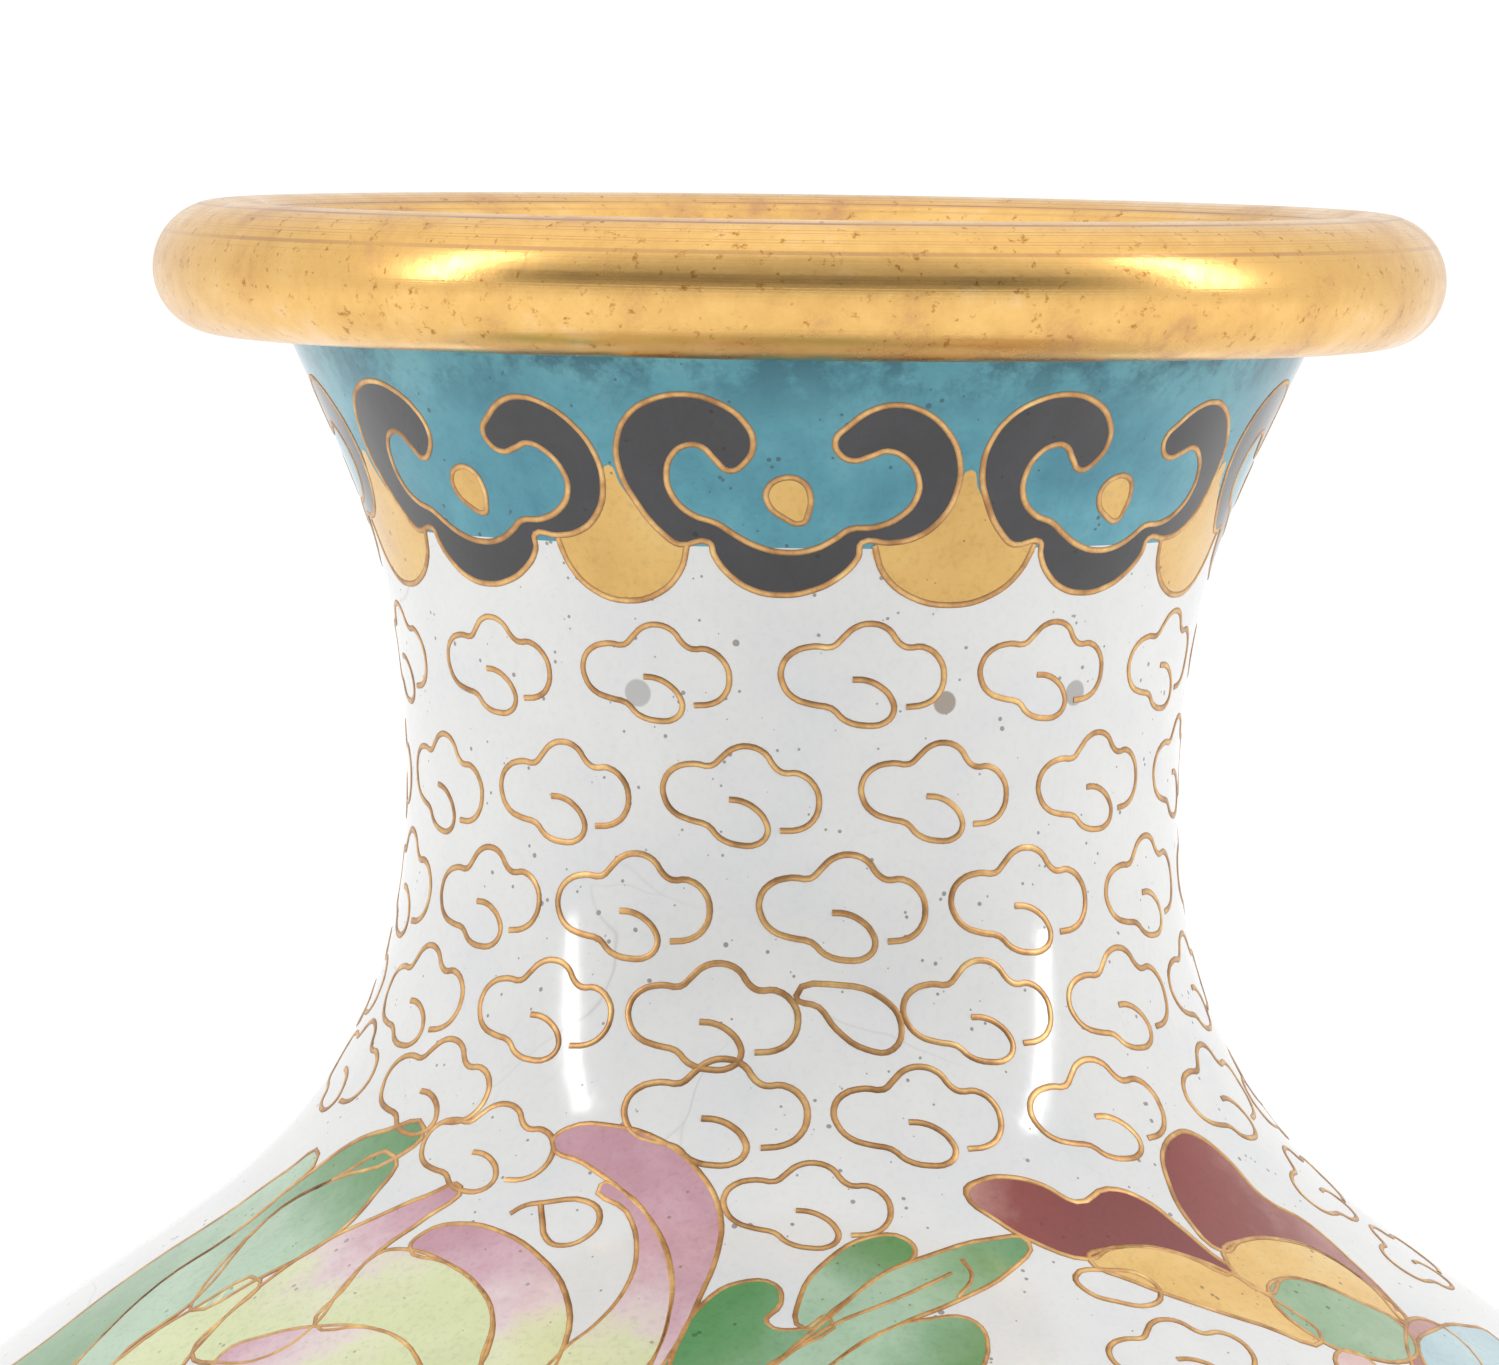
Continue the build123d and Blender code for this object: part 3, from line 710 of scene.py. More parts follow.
for left, right, width in zip(turns, turns[1:] + [turns[0] + 360], LAPPET_WIDTHS):
    middle = (left + right) / 2
    fill = [(x * width, y) for x, y in LAPPET_FILL]
    hem = [(x * width, y) for x, y in LAPPET_HEM]
    lappets.append(laid(enamel_in(fill, grid=0.6, proud=0.6 * CELL_PROUD), middle, HEAD_HEIGHT))
    hems.append(laid(wire_round(hem, closed=False), middle, HEAD_HEIGHT))
finish_piece("collar_lappets", lappets, yellow_enamel, "yellow_enamel", "lappet_enamel")
finish_piece("lappet_hem_wires", hems, wire_brass, "wire_brass", "lappet_wires")


# Shoulder petals: long curved petals of the big peony that rises to the neck on the left, each
# a wire cell filled with enamel that runs from dusty pink at the tip through pale pink to lime.
GROUP_HEIGHT = 0.172
FLOWER_PLACE = (-32.0, GROUP_HEIGHT)
SHOULDER_PETALS = [
    # outline, tip, root
    ([(-2.9, 8.1), (-4.9, 7.3), (-7.7, 5.4), (-10.2, 3.4), (-12.7, -0.2), (-13.8, -3.3), (-14.2, -6.3),
      (-11.5, -6.6), (-8.4, -5.6), (-6.7, -2.8), (-6.7, 0.2), (-5.9, 3.2), (-4.1, 5.9)],
     (-3.0, 8.0), (-11.5, -4.2)),
    ([(-13.3, -0.3), (-17.2, -3.3), (-20.0, -7.3), (-20.7, -10.3), (-17.3, -10.8), (-14.4, -8.3),
      (-14.2, -6.3), (-13.8, -3.3)],
     (-10.0, 14.0), (-14.5, -3.0)),
    ([(-4.0, 3.7), (-3.6, 4.9), (-1.8, 5.7), (1.1, 5.4), (4.1, 3.9), (6.8, 1.4), (8.7, -2.5), (8.8, -6.1),
      (7.0, -8.0), (5.3, -7.4), (4.9, -3.7), (3.7, -0.7), (1.6, 1.5), (-1.1, 2.9)],
     (-2.5, 5.4), (7.0, -7.0)),
    ([(-4.3, 3.5), (-5.9, 2.9), (-6.5, 0.0), (-6.7, -2.8), (-3.3, -2.5), (-0.4, -3.2), (2.3, -5.5),
      (5.3, -7.4), (4.7, -3.7), (3.7, -0.7), (1.6, 1.5), (-1.1, 2.9)],
     (-9.0, 9.0), (-2.0, -1.0)),
    ([(-11.8, -6.0), (-9.5, -4.1), (-6.1, -2.8), (-2.9, -2.5), (-0.3, -3.3), (2.3, -5.5), (5.3, -8.2),
      (1.2, -10.8), (-6.0, -10.0), (-11.0, -8.6)],
     (-13.0, -2.0), (-1.5, -9.0)),
    ([(1.6, 11.4), (2.2, 12.3), (4.7, 12.6), (7.6, 11.9), (10.3, 10.1), (12.5, 7.4), (13.5, 4.6),
      (14.0, 1.5), (14.6, -2.3), (14.7, -6.5), (13.9, -4.6), (13.8, -2.8), (13.0, 0.3), (11.8, 3.2),
      (9.5, 6.4), (6.7, 8.7), (3.9, 10.3)],
     (9.0, 11.5), (17.0, -22.0)),
    ([(5.4, 9.0), (6.7, 8.7), (9.5, 6.3), (11.7, 3.2), (13.0, 0.3), (13.8, -2.8), (13.9, -6.5),
      (11.9, -8.7), (9.1, -7.5), (8.9, -2.8), (9.6, -0.9), (9.9, 1.9), (9.2, 4.8), (7.5, 7.4)],
     (8.5, 10.0), (11.5, -8.0)),
]
SHOULDER_LOOP = [
    (1.0, 6.7), (1.6, 7.3), (2.6, 7.6), (5.0, 7.9), (6.2, 6.9), (6.0, 5.4), (4.8, 4.8), (3.8, 5.3),
    (3.1, 6.4), (2.5, 7.5),
]
GROUP_TURNS = (0.0, 180.0)


def faded(outline, tip, root, layer=0):
    """A filling whose spots keep their share of the way from tip to root."""
    spots, faces = enamel_in(outline, proud=CELL_PROUD * (1 + 0.2 * layer))
    ahead = (np.array(root) - np.array(tip)) * MM
    share = ((spots[:, :2] - np.array(tip) * MM) @ ahead) / (ahead @ ahead)
    spots[:, 3] = np.clip(share, 0, 1)
    return spots, faces


def fade_material(name, seed, *stops):
    """Enamel whose colour runs along each cell by its fade attribute, blotted where colours meet."""
    material = enamel_material(
        name, (0.5, 0.5, 0.5), (0.47, 0.47, 0.47), (0.53, 0.53, 0.53), (0.25, 0.22, 0.2), seed
    )
    nodes, links = material.node_tree.nodes, material.node_tree.links
    shader = nodes["Principled BSDF"]
    shade = shader.inputs["Base Color"].links[0].from_socket
    fade = nodes.new("ShaderNodeAttribute")
    fade.attribute_name = "fade"
    place = nodes.new("ShaderNodeTexCoord").outputs["Object"]
    blots = noise(nodes, links, place, 420 + seed, 4, 0.6)
    stray = nodes.new("ShaderNodeMath")
    stray.operation = "MULTIPLY_ADD"
    stray.inputs[1].default_value = 0.5
    links.new(blots, stray.inputs[0])
    links.new(fade.outputs["Fac"], stray.inputs[2])
    shift = nodes.new("ShaderNodeMath")
    shift.operation = "SUBTRACT"
    shift.inputs[1].default_value = 0.25
    links.new(stray.outputs[0], shift.inputs[0])
    colours = ramp(nodes, links, shift.outputs[0], *stops)
    doubled = mixed(nodes, links, 1.0, shade, (2.0, 2.0, 2.0), "MULTIPLY")
    links.new(mixed(nodes, links, 1.0, colours, doubled, "MULTIPLY"), shader.inputs["Base Color"])
    return material


petal_enamel = fade_material(
    "petal_enamel", 31.0,
    (0.0, (0.52, 0.27, 0.33)), (0.30, (0.62, 0.39, 0.45)), (0.55, (0.74, 0.60, 0.61)),
    (0.72, (0.70, 0.72, 0.47)), (1.0, (0.64, 0.69, 0.38)),
)
petals, petal_wires = [], []
for group_turn in GROUP_TURNS:
    place = (FLOWER_PLACE[0] + group_turn, FLOWER_PLACE[1])
    for layer, (outline, tip, root) in enumerate(SHOULDER_PETALS):
        petals.append(laid(faded(outline, tip, root, layer), *place))
        petal_wires.append(laid(wire_round(outline), *place))
    petal_wires.append(laid(wire_round(SHOULDER_LOOP, closed=False), *place))


# Peonies: full flowers on the belly, two rings of petals round a heart, filled like the shoulder's.
PEONY_PLACES = [(-35.0 + 90.0 * i, 0.146 - 0.036 * (i % 2), 14.0 * i) for i in range(4)]
OUTER_PETAL = [
    (0.0, 9.4), (3.0, 9.2), (6.2, 10.8), (8.2, 14.2), (7.2, 17.4), (4.6, 19.0), (2.0, 18.3), (0.0, 17.4),
    (-2.0, 18.3), (-4.6, 19.0), (-7.2, 17.4), (-8.2, 14.2), (-6.2, 10.8), (-3.0, 9.2),
]
INNER_PETAL = [
    (0.0, 3.2), (2.6, 4.2), (4.4, 6.6), (3.2, 8.9), (0.0, 8.4), (-3.2, 8.9), (-4.4, 6.6), (-2.6, 4.2),
]
HEART_RADIUS = 2.6
HEART = [(HEART_RADIUS * cos(radians(a)), HEART_RADIUS * sin(radians(a))) for a in range(0, 360, 40)]
PETALS_ROUND = 5
outer = faded(OUTER_PETAL, (0, 19.0), (0, 9.0))
inner = faded(INNER_PETAL, (0, 9.0), (0, 1.0))
inner_petals, hearts = [], []
heart_filling = enamel_in(HEART)
outer_wire, inner_wire, heart_wire = wire_round(OUTER_PETAL), wire_round(INNER_PETAL), wire_round(HEART)
for turn, height, tilt in PEONY_PLACES:
    for i in range(PETALS_ROUND):
        outer_tilt = tilt + 360 / PETALS_ROUND * i
        inner_tilt = outer_tilt + 180 / PETALS_ROUND
        petals.append(laid(outer, turn, height, outer_tilt))
        inner_petals.append(laid(inner, turn, height, inner_tilt))
        petal_wires.append(laid(outer_wire, turn, height, outer_tilt))
        petal_wires.append(laid(inner_wire, turn, height, inner_tilt))
    hearts.append(laid(heart_filling, turn, height))
    petal_wires.append(laid(heart_wire, turn, height))
inner_enamel = fade_material(
    "inner_petal_enamel", 37.0,
    (0.0, (0.72, 0.50, 0.55)), (0.5, (0.78, 0.72, 0.60)), (1.0, (0.60, 0.68, 0.28)),
)
finish_piece("peony_petals", petals, petal_enamel, "pink_enamel", "outer_petal_enamel")
finish_piece("peony_inner_petals", inner_petals, inner_enamel, "lime_enamel", "inner_petal_enamel")
finish_piece("peony_hearts", hearts, yellow_enamel, "yellow_enamel", "flower_heart_enamel")
finish_piece("peony_wires", petal_wires, wire_brass, "wire_brass", "flower_wires")


# Leaves: long blades behind the shoulder flowers and scalloped leaves beside them, in two greens
# that run into each other, the belly leaves and some shoulder leaves with a vein drawn in wire; pairs of
# leaves flank each peony.
LEAF_PLACE = (5.0, GROUP_HEIGHT)
SHOULDER_LEAVES = [
    # place, outline, pale end, deep end
    (FLOWER_PLACE, [(-7.4, 11.4), (-10.6, 10.9), (-13.4, 9.7), (-16.0, 7.4), (-17.8, 5.4), (-19.9, 2.1),
                    (-23.3, -2.3), (-24.5, -8.2), (-25.1, -12.6), (-20.9, -11.0), (-20.3, -7.0),
                    (-17.8, -2.8), (-17.2, 3.9), (-13.2, 7.3), (-8.6, 9.4)], (-22, 0), (-8, 12)),
    (FLOWER_PLACE, [(-8.6, 9.4), (-13.2, 7.3), (-17.2, 3.9), (-17.8, -2.8), (-17.2, -3.4),
                    (-13.5, -0.1), (-10.0, 3.7), (-8.8, 6.9)], (-12, 2), (-8, 10)),
    (FLOWER_PLACE, [(-16.4, 8.6), (-19.3, 7.0), (-23.3, 3.2), (-28.0, -1.8), (-31.5, -8.2), (-33.9, -13.5),
                    (-25.1, -12.6), (-24.5, -8.2), (-23.3, -2.3), (-19.9, 2.1), (-17.8, 5.4)],
     (-20, 6), (-34, -12)),
    (LEAF_PLACE, [(10.5, 5.4), (8.3, 5.7), (4.7, 4.6), (2.4, 3.5), (-0.7, 0.2), (-3.3, -2.8),
                  (-6.3, -6.5), (-2.8, -6.5), (-0.7, -3.3), (2.7, -0.5), (6.2, 1.4), (9.3, 3.5)],
     (4, 2), (10, 6)),
    (LEAF_PLACE, [(-2.0, -0.7), (-2.1, 1.7), (-0.4, 4.5), (1.8, 6.0), (3.6, 5.9), (4.1, 4.8), (2.4, 3.5),
                  (-0.5, 0.7)], (0, 2), (3, 6)),
    (LEAF_PLACE, [(-8.7, -1.9), (-7.1, 1.2), (-5.2, 2.7), (-3.4, 2.6), (-3.2, 1.2), (-4.0, -0.3),
                  (-2.1, -0.7), (-0.7, 0.2), (-3.3, -2.8), (-6.3, -6.5), (-9.8, -6.7)], (0, -4), (-6, 1)),
    (LEAF_PLACE, [(-0.7, -3.3), (2.7, -0.5), (4.5, 0.0), (6.6, 0.0), (7.5, -1.6), (6.2, -4.9),
                  (2.3, -7.2), (-2.8, -6.5)], (1, -3), (8, -6)),
]
LEAF_VEINS = [
    (LEAF_PLACE, [(-5.4, -5.4), (-2.6, -2.2), (-0.6, -0.4), (2.6, 1.4), (6.0, 3.4)]),
    (LEAF_PLACE, [(6.6, 4.4), (7.1, 3.2), (6.2, 1.6)]),
]
BELLY_LEAF = [
    (0.0, 22.0), (-1.4, 18.6), (-3.6, 16.4), (-3.4, 13.4), (-5.2, 10.8), (-4.6, 7.4), (-5.0, 4.6),
    (-2.4, 1.8), (0.0, 0.0), (2.4, 1.8), (5.0, 4.6), (4.6, 7.4), (5.2, 10.8), (3.4, 13.4), (3.6, 16.4),
    (1.4, 18.6),
]
BELLY_VEIN = [(0.0, 1.0), (0.5, 7.0), (-0.3, 14.0), (0.0, 20.5)]
leaf_enamel = fade_material(
    "leaf_enamel", 43.0,
    (0.0, (0.42, 0.58, 0.42)), (0.35, (0.26, 0.43, 0.26)), (0.65, (0.17, 0.34, 0.16)),
    (1.0, (0.11, 0.29, 0.11)),
)
leaves, leaf_wires = [], []
for group_turn in GROUP_TURNS:
    for layer, (place, outline, pale, deep) in enumerate(SHOULDER_LEAVES):
        leaves.append(laid(faded(outline, pale, deep, layer), place[0] + group_turn, place[1]))
        leaf_wires.append(laid(wire_round(outline), place[0] + group_turn, place[1]))
    for place, line in LEAF_VEINS:
        leaf_wires.append(laid(wire_round(line, closed=False), place[0] + group_turn, place[1]))
belly_leaf = faded(BELLY_LEAF, (0, 22), (0, 0))
belly_wires = [wire_round(BELLY_LEAF), wire_round(BELLY_VEIN, closed=False)]
for turn, height, tilt in PEONY_PLACES:
    for side in (-1, 1):
        place = (turn + side * 24.0, height + 0.002, side * -58.0)
        leaves.append(laid(belly_leaf, *place))
        leaf_wires += [laid(wire, *place) for wire in belly_wires]
finish_piece("leaves", leaves, leaf_enamel, "green_enamel", "leaf_enamel")
finish_piece("leaf_wires_bent", leaf_wires, wire_brass, "wire_brass", "leaf_wires")


# Butterflies: brick red wings edged in yellow and green round a pale body.  The shoulder ones fly
# towards the neck with folded wings; the belly ones spread theirs.
BUTTERFLY_PLACE = (45.0, GROUP_HEIGHT)
FOLDED_RED = [
    ([(-12.2, 8.7), (-10.8, 9.6), (-9.2, 9.7), (-7.5, 9.1), (-6.1, 7.9), (-3.6, 8.6), (-1.6, 7.7),
      (-0.5, 6.0), (0.4, 3.7), (0.9, 2.1), (-1.5, 3.7), (-3.8, 4.6), (-6.2, 4.6), (-7.8, 4.0),
      (-10.4, 5.6), (-11.4, 6.9)], (-12, 9), (-7, 6)),
    ([(3.7, 11.5), (5.1, 11.4), (7.3, 9.5), (8.5, 6.7), (11.4, 4.3), (12.4, 1.4), (12.6, -1.9),
      (12.0, -3.6), (11.9, -0.7), (10.2, 2.2), (6.8, 3.9), (3.3, 4.2), (1.4, 3.7), (0.6, 6.2),
      (1.0, 8.8), (1.8, 10.5)], (16, 6), (-6, 6)),
]
FOLDED_GOLD = [
    [(-7.8, 4.0), (-6.2, 4.6), (-3.8, 4.6), (-1.5, 3.7), (0.8, 1.9), (1.9, 0.3), (2.9, -3.7),
     (-0.4, -1.9), (-3.6, 0.2), (-6.2, 2.2)],
    [(1.3, 3.5), (3.5, 4.2), (6.8, 3.9), (10.2, 2.2), (11.9, -0.7), (12.0, -3.6), (10.6, -2.6),
     (8.9, -1.2), (6.7, 0.5), (4.3, 1.2), (2.0, 0.3)],
]
FOLDED_GREEN = [(2.2, 0.3), (4.3, 1.2), (6.7, 0.5), (8.9, -1.2), (11.0, -3.4), (10.4, -5.4), (8.2, -6.1),
                (5.2, -5.3), (2.9, -3.7)]
FOLDED_BODY = [
    (3.0, -4.8), (4.6, -4.8), (5.4, -6.6), (4.8, -9.7), (3.4, -13.0), (1.8, -12.4), (1.6, -9.2), (2.0, -6.6),
]
FOLDED_BLUE = [
    (10.4, -5.6), (14.2, -4.6), (18.7, -5.1), (21.7, -6.8), (19.2, -8.8), (14.3, -9.5), (10.0, -8.8),
]
SPREAD_UPPER = [
    (1.5, 0.7), (7.5, 2.4), (11.0, 4.0), (13.4, 6.6), (15.3, 9.2), (13.9, 11.8), (10.4, 12.0), (6.0, 9.2),
]
SPREAD_LOWER = [
    (1.7, -0.4), (1.9, -3.4), (3.6, -6.8), (6.0, -7.9), (8.0, -6.0), (9.9, -4.6), (8.6, -1.4), (5.4, 0.2),
]
SPREAD_BODY = [(0.0, -7.5), (0.9, -3.5), (0.95, 2.0), (0.0, 5.0), (-0.95, 2.0), (-0.9, -3.5)]
FEELER = [(0.3, 4.8), (1.4, 7.6), (3.2, 9.4), (3.9, 8.6)]
FEELERS = [FEELER, [(-x, y) for x, y in FEELER]]
SPREAD_PLACES = [(52.0, 0.160, 20.0), (232.0, 0.160, -15.0), (-35.0, 0.098, 10.0), (145.0, 0.098, -12.0)]
red_enamel = fade_material(
    "wing_red_enamel", 53.0,
    (0.0, (0.48, 0.22, 0.19)), (0.45, (0.25, 0.035, 0.026)), (1.0, (0.21, 0.025, 0.02)),
)
gold_enamel = enamel_material(
    "wing_gold_enamel", (0.80, 0.51, 0.15), (0.72, 0.42, 0.10), (0.83, 0.60, 0.24), (0.25, 0.12, 0.04), 57.0
)
pale_enamel = enamel_material(
    "wing_pale_enamel", (0.72, 0.50, 0.48), (0.62, 0.40, 0.38), (0.78, 0.60, 0.57), (0.25, 0.15, 0.12), 59.0
)
reds, golds, greens, blues, bodies, wing_wires = [], [], [], [], [], []
for group_turn in GROUP_TURNS:
    place = (BUTTERFLY_PLACE[0] + group_turn, BUTTERFLY_PLACE[1])
    for outline, tip, root in FOLDED_RED:
        reds.append(laid(faded(outline, tip, root), *place))
        wing_wires.append(laid(wire_round(outline), *place))
    for outline in FOLDED_GOLD:
        golds.append(laid(enamel_in(outline), *place))
        wing_wires.append(laid(wire_round(outline), *place))
    greens.append(laid(enamel_in(FOLDED_GREEN, proud=1.3 * CELL_PROUD), *place))
    blues.append(laid(enamel_in(FOLDED_BLUE, proud=1.6 * CELL_PROUD), *place))
    bodies.append(laid(enamel_in(FOLDED_BODY, proud=1.9 * CELL_PROUD), *place))
    wing_wires += [laid(wire_round(line), *place) for line in (FOLDED_GREEN, FOLDED_BLUE, FOLDED_BODY)]
for place in SPREAD_PLACES:
    for side in (-1, 1):
        upper = [(side * x, y) for x, y in SPREAD_UPPER]
        lower = [(side * x, y) for x, y in SPREAD_LOWER]
        reds.append(laid(faded(upper, (side * 13.0, 11.0), (side * 2.0, 1.0)), *place))
        golds.append(laid(enamel_in(lower), *place))
        wing_wires += [laid(wire_round(line), *place) for line in (upper, lower)]
    bodies.append(laid(enamel_in(SPREAD_BODY), *place))
    wing_wires.append(laid(wire_round(SPREAD_BODY), *place))
    wing_wires += [laid(wire_round(line, closed=False), *place) for line in FEELERS]
finish_piece("butterfly_red_wings", reds, red_enamel, "red_enamel", "butterfly_upper_wing_enamel")
finish_piece("butterfly_gold_wings", golds, gold_enamel, "orange_enamel", "butterfly_lower_wing_enamel")
finish_piece("butterfly_bodies", bodies, pale_enamel, "pale_pink_enamel", "butterfly_body_enamel")
wing_green = enamel_material(
    "wing_green_enamel", (0.28, 0.43, 0.25), (0.20, 0.36, 0.18), (0.38, 0.50, 0.33), (0.05, 0.12, 0.06), 61.0
)
wing_blue = enamel_material(
    "wing_blue_enamel", (0.42, 0.58, 0.62), (0.34, 0.50, 0.55), (0.50, 0.66, 0.68), (0.15, 0.2, 0.2), 67.0
)
finish_piece("butterfly_green_cells", greens, wing_green, "green_enamel")
finish_piece("butterfly_blue_cells", blues, wing_blue, "blue_enamel")
finish_piece("butterfly_wires_bent", wing_wires, wire_brass, "wire_brass", "butterfly_wires")


# Body clouds: the same open scrolls in staggered rows over the rest of the white ground, left out
# where flowers, leaves and butterflies stand, with a few loose drop-shaped loops.
DROP = [(-2.2, 0.5), (-1.8, -0.7), (-0.4, -1.3), (1.4, -1.5), (2.5, -0.6), (2.0, 0.7), (0.0, 1.1)]
NECK_DROP = [
    (-2.5, 1.0), (0.0, 1.6), (2.1, 0.9), (3.1, -0.5), (2.6, -1.9), (1.2, -1.9), (-0.4, -0.8), (-1.3, 0.4),
]
SHOULDER_CLOUDS = [
    (-37.5, 0.1792), (2.2, 0.1772), (80.0, 0.1759), (82.5, 0.1719), (34.0, 0.1700), (92.0, 0.180),
]
CLOUD_STEP = 0.0118
ROW_STEP = 0.0074
CLOUD_ROOM = 0.0045
# Places kept clear of clouds: turn, height and reach.
KEPT_CLEAR = [(turn, height, 0.0215) for turn, height, tilt in PEONY_PLACES]
KEPT_CLEAR += [
    (turn + side * reach, height + rise, 0.0085)
    for turn, height, tilt in PEONY_PLACES
    for side in (-1, 1)
    for reach, rise in ((27.0, 0.004), (34.0, 0.008), (41.0, 0.012))
]
KEPT_CLEAR += [(turn, height, 0.016) for turn, height, tilt in SPREAD_PLACES]
for group_turn in GROUP_TURNS:
    KEPT_CLEAR += [
        (FLOWER_PLACE[0] - 4 + group_turn, 0.171, 0.0165),
        (FLOWER_PLACE[0] - 33 + group_turn, 0.171, 0.013),
        (LEAF_PLACE[0] - 3 + group_turn, 0.1705, 0.0125),
        (BUTTERFLY_PLACE[0] + 2 + group_turn, 0.172, 0.0155),
        (BUTTERFLY_PLACE[0] + 22 + group_turn, 0.168, 0.010),
        (FLOWER_PLACE[0] + 12 + group_turn, 0.175, 0.010),
    ]


def degrees_apart(one, other):
    """The signed angle between two turns, the short way round."""
    return (one - other + 180) % 360 - 180


def is_clear(turn, height, room):
    """True if a place is further than room from everything kept clear."""
    for other_turn, other_height, reach in KEPT_CLEAR:
        radius = float(np.interp(run_at((height + other_height) / 2), WALL_RUN, WALL[:, 0]))
        round_it = radians(degrees_apart(turn, other_turn)) * radius
        if hypot(round_it, run_at(height) - run_at(other_height)) < reach + room:
            return False
    return True


def near_shoulder_cloud(turn, run, radius):
    """True if a place would crowd one of the clouds listed for the shoulder."""
    return any(
        abs(degrees_apart(turn, cloud_turn)) * radians(1) * radius < 0.0098
        and abs(run - run_at(cloud_height)) < 0.0062
        for cloud_turn, cloud_height in SHOULDER_CLOUDS
    )


small_cloud = wire_round(CLOUD, closed=False, spans=2, arch=PLAIN_ARCH)
body_parts = [laid(cloud_wire, turn, height, chance.normal(0, 3), 1.0) for turn, height in SHOULDER_CLOUDS]
body_parts.append(laid(wire_round(NECK_DROP), 7.3, 0.1867))
body_parts += [laid(wire_round(DROP), 32.0 + turn, 0.1732, -8) for turn in GROUP_TURNS]
row = 0
run = run_at(0.1785)
while run < run_at(0.040):
    radius, height = (float(np.interp(run, WALL_RUN, column)) for column in WALL.T)
    count = int(2 * pi * radius / CLOUD_STEP)
    for i in range(count):
        turn = 360 * (i + 0.5 * (row % 2)) / count + chance.normal(0, 0.8) * 0.02 / radius
        if is_clear(turn, height, CLOUD_ROOM) and not near_shoulder_cloud(turn, run, radius):
            size = chance.normal(1.0, 0.03)
            body_parts.append(laid(small_cloud, turn, height, chance.normal(0, 4), size))
    run += ROW_STEP
    row += 1
finish_piece("body_cloud_scrolls", body_parts, wire_brass, "wire_brass", "body_cloud_wires")


# Foot border: blue petals standing round the foot in wire cells, a ring wire, and a turquoise band
# below it down to the foot ring.
FOOT_PETAL = [
    (-5.0, -3.4), (-2.5, -3.6), (0.0, -3.65), (2.5, -3.6), (5.0, -3.4), (5.3, -1.4), (5.2, 0.8), (3.6, 3.6),
    (0.0, 5.4), (-3.6, 3.6), (-5.2, 0.8), (-5.3, -1.4),
]
FOOT_PETAL_HEIGHT = 0.027
FOOT_PETAL_COUNT = 16
band_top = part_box("foot_band_enamel")[1].z
foot_band = spun_piece("foot_band", skin_section(band_top, wall_foot, 24), 192)
foot_band.data.materials.append(turquoise_enamel)
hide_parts("foot_band_enamel")
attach(foot_band, "root")
wire_low, wire_high = (corner.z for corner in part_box("foot_band_wire"))
RING_WIRE_PROUD = 0.00015
ring_wire = spun_piece("foot_ring_wire", skin_section(wire_high, wire_low, 5, lift=RING_WIRE_PROUD), 192)
ring_wire.data.materials.append(wire_brass)
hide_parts("foot_band_wire")
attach(ring_wire, "root")
blue_enamel = fade_material(
    "foot_petal_enamel", 71.0,
    (0.0, (0.30, 0.45, 0.66)), (0.5, (0.07, 0.16, 0.42)), (1.0, (0.03, 0.08, 0.28)),
)
foot_filling = faded(FOOT_PETAL, (0, 5.4), (0, -3.6))
foot_wire = wire_round(FOOT_PETAL)
foot_petals, foot_wires = [], []
for i in range(FOOT_PETAL_COUNT):
    turn = 360 * i / FOOT_PETAL_COUNT
    foot_petals.append(laid(foot_filling, turn, FOOT_PETAL_HEIGHT))
    foot_wires.append(laid(foot_wire, turn, FOOT_PETAL_HEIGHT))
finish_piece("foot_petals", foot_petals, blue_enamel, "blue_enamel", "foot_petal_enamel")
finish_piece("foot_petal_wires_bent", foot_wires, wire_brass, "wire_brass", "foot_petal_wires")


# Foot ring: a turned brass ring soldered under the body, rounded outside and flat where it rests.
foot_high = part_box("foot_ring")[1]
foot_bore = 0.0315
foot_round = 0.0024
foot_bevel = 0.0006
foot_top = foot_high.z
foot_reach = foot_high.x
foot_section = [(foot_bore, foot_bevel), (foot_bore + foot_bevel, 0.0)]
foot_section += [
    (foot_reach - foot_round + foot_round * cos(a), foot_top * 0.5 + foot_top * 0.5 * sin(a))
    for a in np.linspace(-pi / 2, pi / 2, 28)
]
foot_section += [(foot_bore + 0.0004, foot_top), (foot_bore, foot_top - 0.0004)]
foot_ring = spun_piece("foot_ring_turned", foot_section, 192)
foot_brass = brass_material("foot_brass", 9.0, 0.22)
foot_ring.data.materials.append(foot_brass)
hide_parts("foot_ring")
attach(foot_ring, "root")


# Counter-enamel: a thin turquoise coat fired inside the body and under the base so that the copper
# does not warp; it shows inside the mouth and under the foot.
lining_enamel = enamel_material(
    "lining_enamel", (0.10, 0.36, 0.44), (0.06, 0.26, 0.34), (0.16, 0.46, 0.53), (0.02, 0.05, 0.06), 81.0
)
for node in ("neck_lining_enamel", "body_lining_enamel", "floor_enamel", "underside_enamel"):
    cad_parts[node].material_slots[0].material = lining_enamel


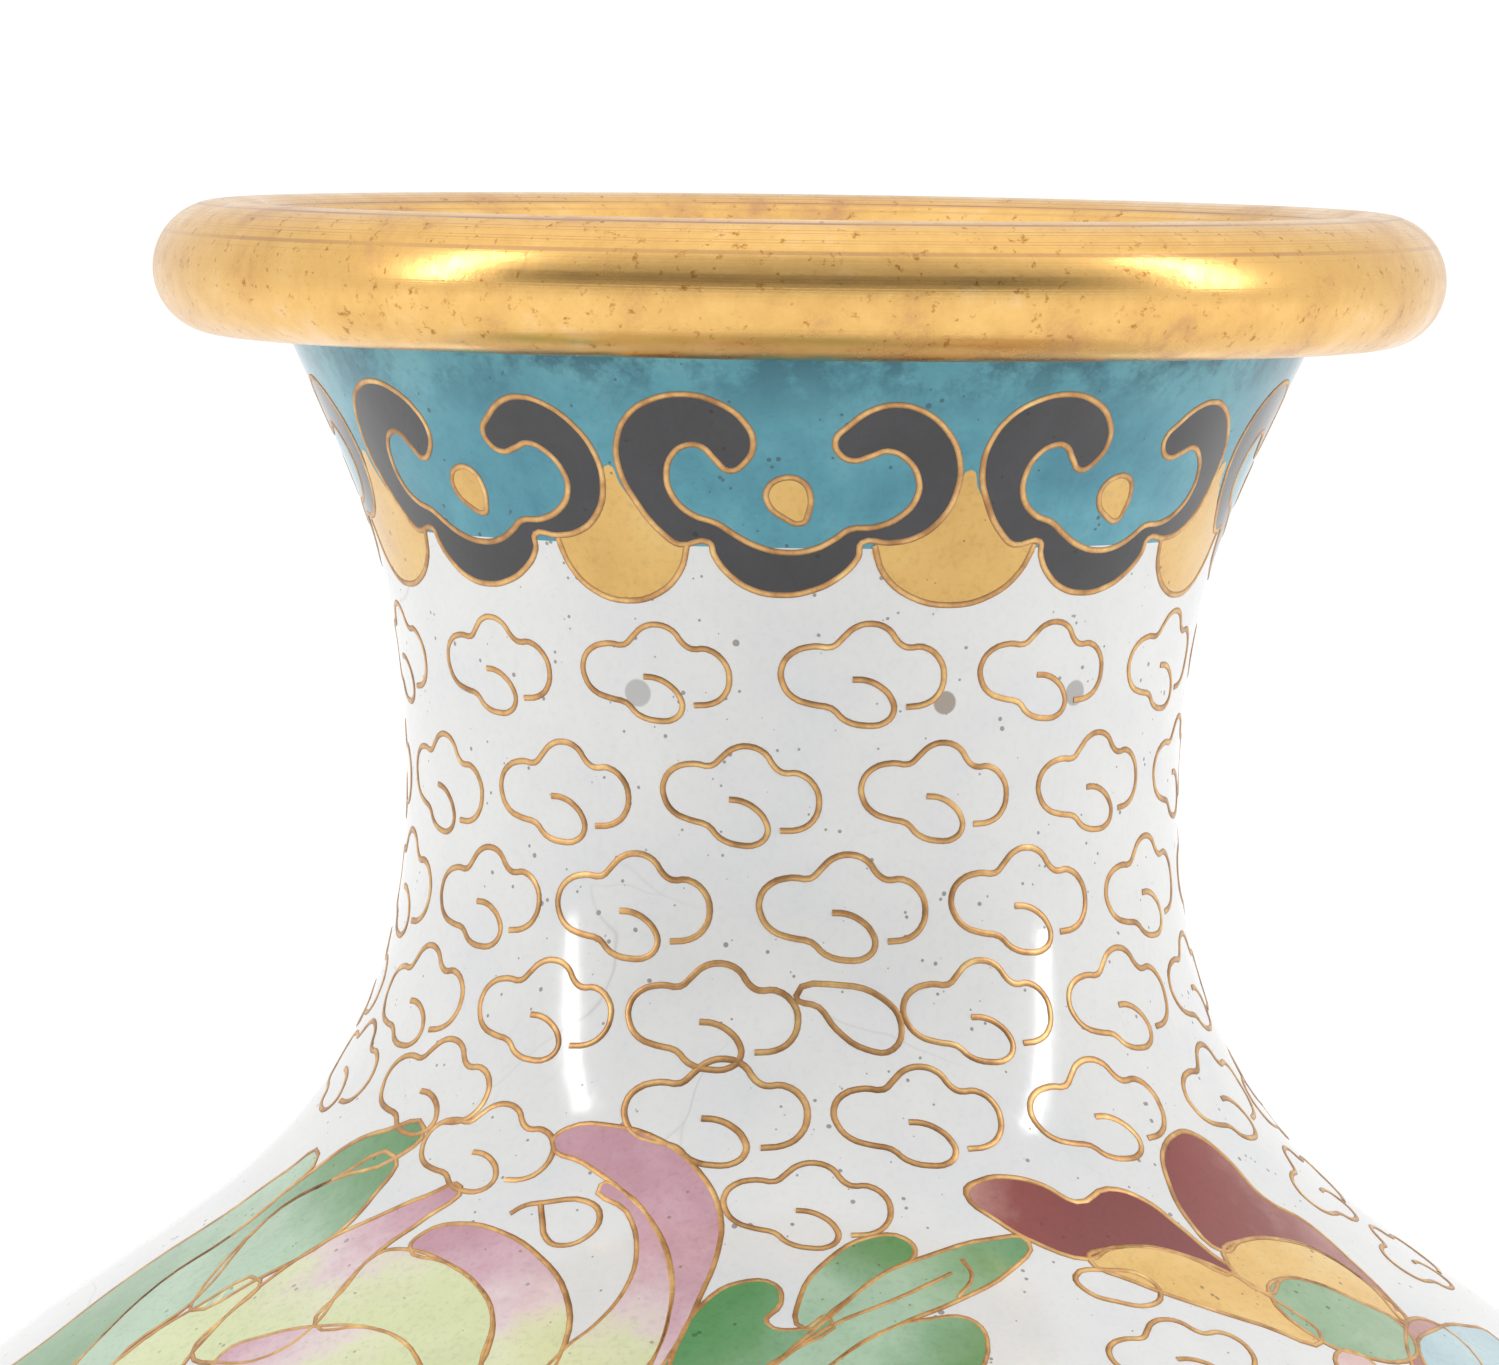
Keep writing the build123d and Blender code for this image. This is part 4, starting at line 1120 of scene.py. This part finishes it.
# Copper and solder: the spun shells, the base disc and the silver solder seams between them, all
# covered by enamel except inside the foot ring.
def bare_metal(name, base, dark, roughness):
    """Unpolished metal, dulled in patches and slightly pitted."""
    material, nodes, links, shader = new_material(name)
    place = nodes.new("ShaderNodeTexCoord").outputs["Object"]
    dulled = noise(nodes, links, place, 120, 4, 0.6)
    links.new(ramp(nodes, links, dulled, (0.3, dark), (0.7, base)), shader.inputs["Base Color"])
    shader.inputs["Metallic"].default_value = 1.0
    shader.inputs["Roughness"].default_value = roughness
    bump = nodes.new("ShaderNodeBump")
    bump.inputs["Strength"].default_value = 0.2
    bump.inputs["Distance"].default_value = 0.0001
    links.new(noise(nodes, links, place, 900, 3, 0.6), bump.inputs["Height"])
    links.new(bump.outputs["Normal"], shader.inputs["Normal"])
    return material


copper = bare_metal("spun_copper", (0.72, 0.34, 0.20), (0.42, 0.18, 0.10), 0.35)
for node in ("neck_shell", "shoulder_shell", "lower_body_shell", "base_disc"):
    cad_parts[node].material_slots[0].material = copper
solder = bare_metal("silver_solder", (0.62, 0.61, 0.58), (0.40, 0.39, 0.37), 0.4)
for node in ("rim_solder", "neck_seam_solder", "belly_seam_solder", "foot_solder"):
    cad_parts[node].material_slots[0].material = solder


# Stage: a white paper floor in a white room, with a dark band over the camera and a tall narrow
# softbox on each side.
bpy.ops.mesh.primitive_plane_add(size=60, location=(0, 0, 0))
floor = bpy.context.object
floor.name = "floor"
paper, *_, shader = new_material("pale_floor")
shader.inputs["Base Color"].default_value = (0.84, 0.84, 0.84, 1)
shader.inputs["Roughness"].default_value = 0.8
shader.inputs["Emission Color"].default_value = (1, 1, 1, 1)
shader.inputs["Emission Strength"].default_value = 0.20
floor.data.materials.append(paper)

world = bpy.data.worlds.new("studio")
bpy.context.scene.world = world
world.use_nodes = True
nodes, links = world.node_tree.nodes, world.node_tree.links
look = nodes.new("ShaderNodeTexCoord").outputs["Generated"]
split = nodes.new("ShaderNodeSeparateXYZ")
links.new(look, split.inputs["Vector"])
behind = nodes.new("ShaderNodeMath")
behind.operation = "MULTIPLY"
behind.inputs[1].default_value = -1
links.new(split.outputs["Y"], behind.inputs[0])
facing = ramp(nodes, links, behind.outputs[0], (0.30, (0, 0, 0)), (0.72, (1, 1, 1)))
band = ramp(
    nodes, links, split.outputs["Z"],
    (0.06, (0, 0, 0)), (0.22, (1, 1, 1)), (0.36, (1, 1, 1)), (0.52, (0, 0, 0)),
)
dark_zone = mixed(nodes, links, 1.0, facing, band, "MULTIPLY")
overhead = ramp(nodes, links, split.outputs["Z"], (0.55, (0.50, 0.50, 0.50)), (0.90, (0.62, 0.62, 0.62)))
doubled = mixed(nodes, links, 1.0, overhead, (2.0, 2.0, 2.0), "MULTIPLY")
front = mixed(nodes, links, facing, doubled, (0.66, 0.67, 0.69))
room = mixed(nodes, links, dark_zone, front, (0.20, 0.19, 0.18))
links.new(room, nodes["Background"].inputs["Color"])
nodes["Background"].inputs["Strength"].default_value = 1.0
bpy.context.scene.view_settings.view_transform = "Standard"


def softbox(name, azimuth, elevation, distance, width, tall, power):
    """An area light aimed at the neck.  Azimuth is from the camera's side, positive to the right."""
    a, e = radians(azimuth), radians(elevation)
    aim = Vector((0, 0, HEIGHT * 0.85))
    place = aim + distance * Vector((sin(a) * cos(e), -cos(a) * cos(e), sin(e)))
    bpy.ops.object.light_add(type="AREA", location=place)
    light = bpy.context.object
    light.name = name
    light.data.shape = "RECTANGLE"
    light.data.size = width
    light.data.size_y = tall
    light.data.energy = power
    light.rotation_euler = (aim - place).to_track_quat("-Z", "Y").to_euler()


softbox("left_box", -66, 27, 1.0, 0.08, 0.70, 1.8)
softbox("right_box", 78, 27, 1.0, 0.08, 0.70, 2.1)
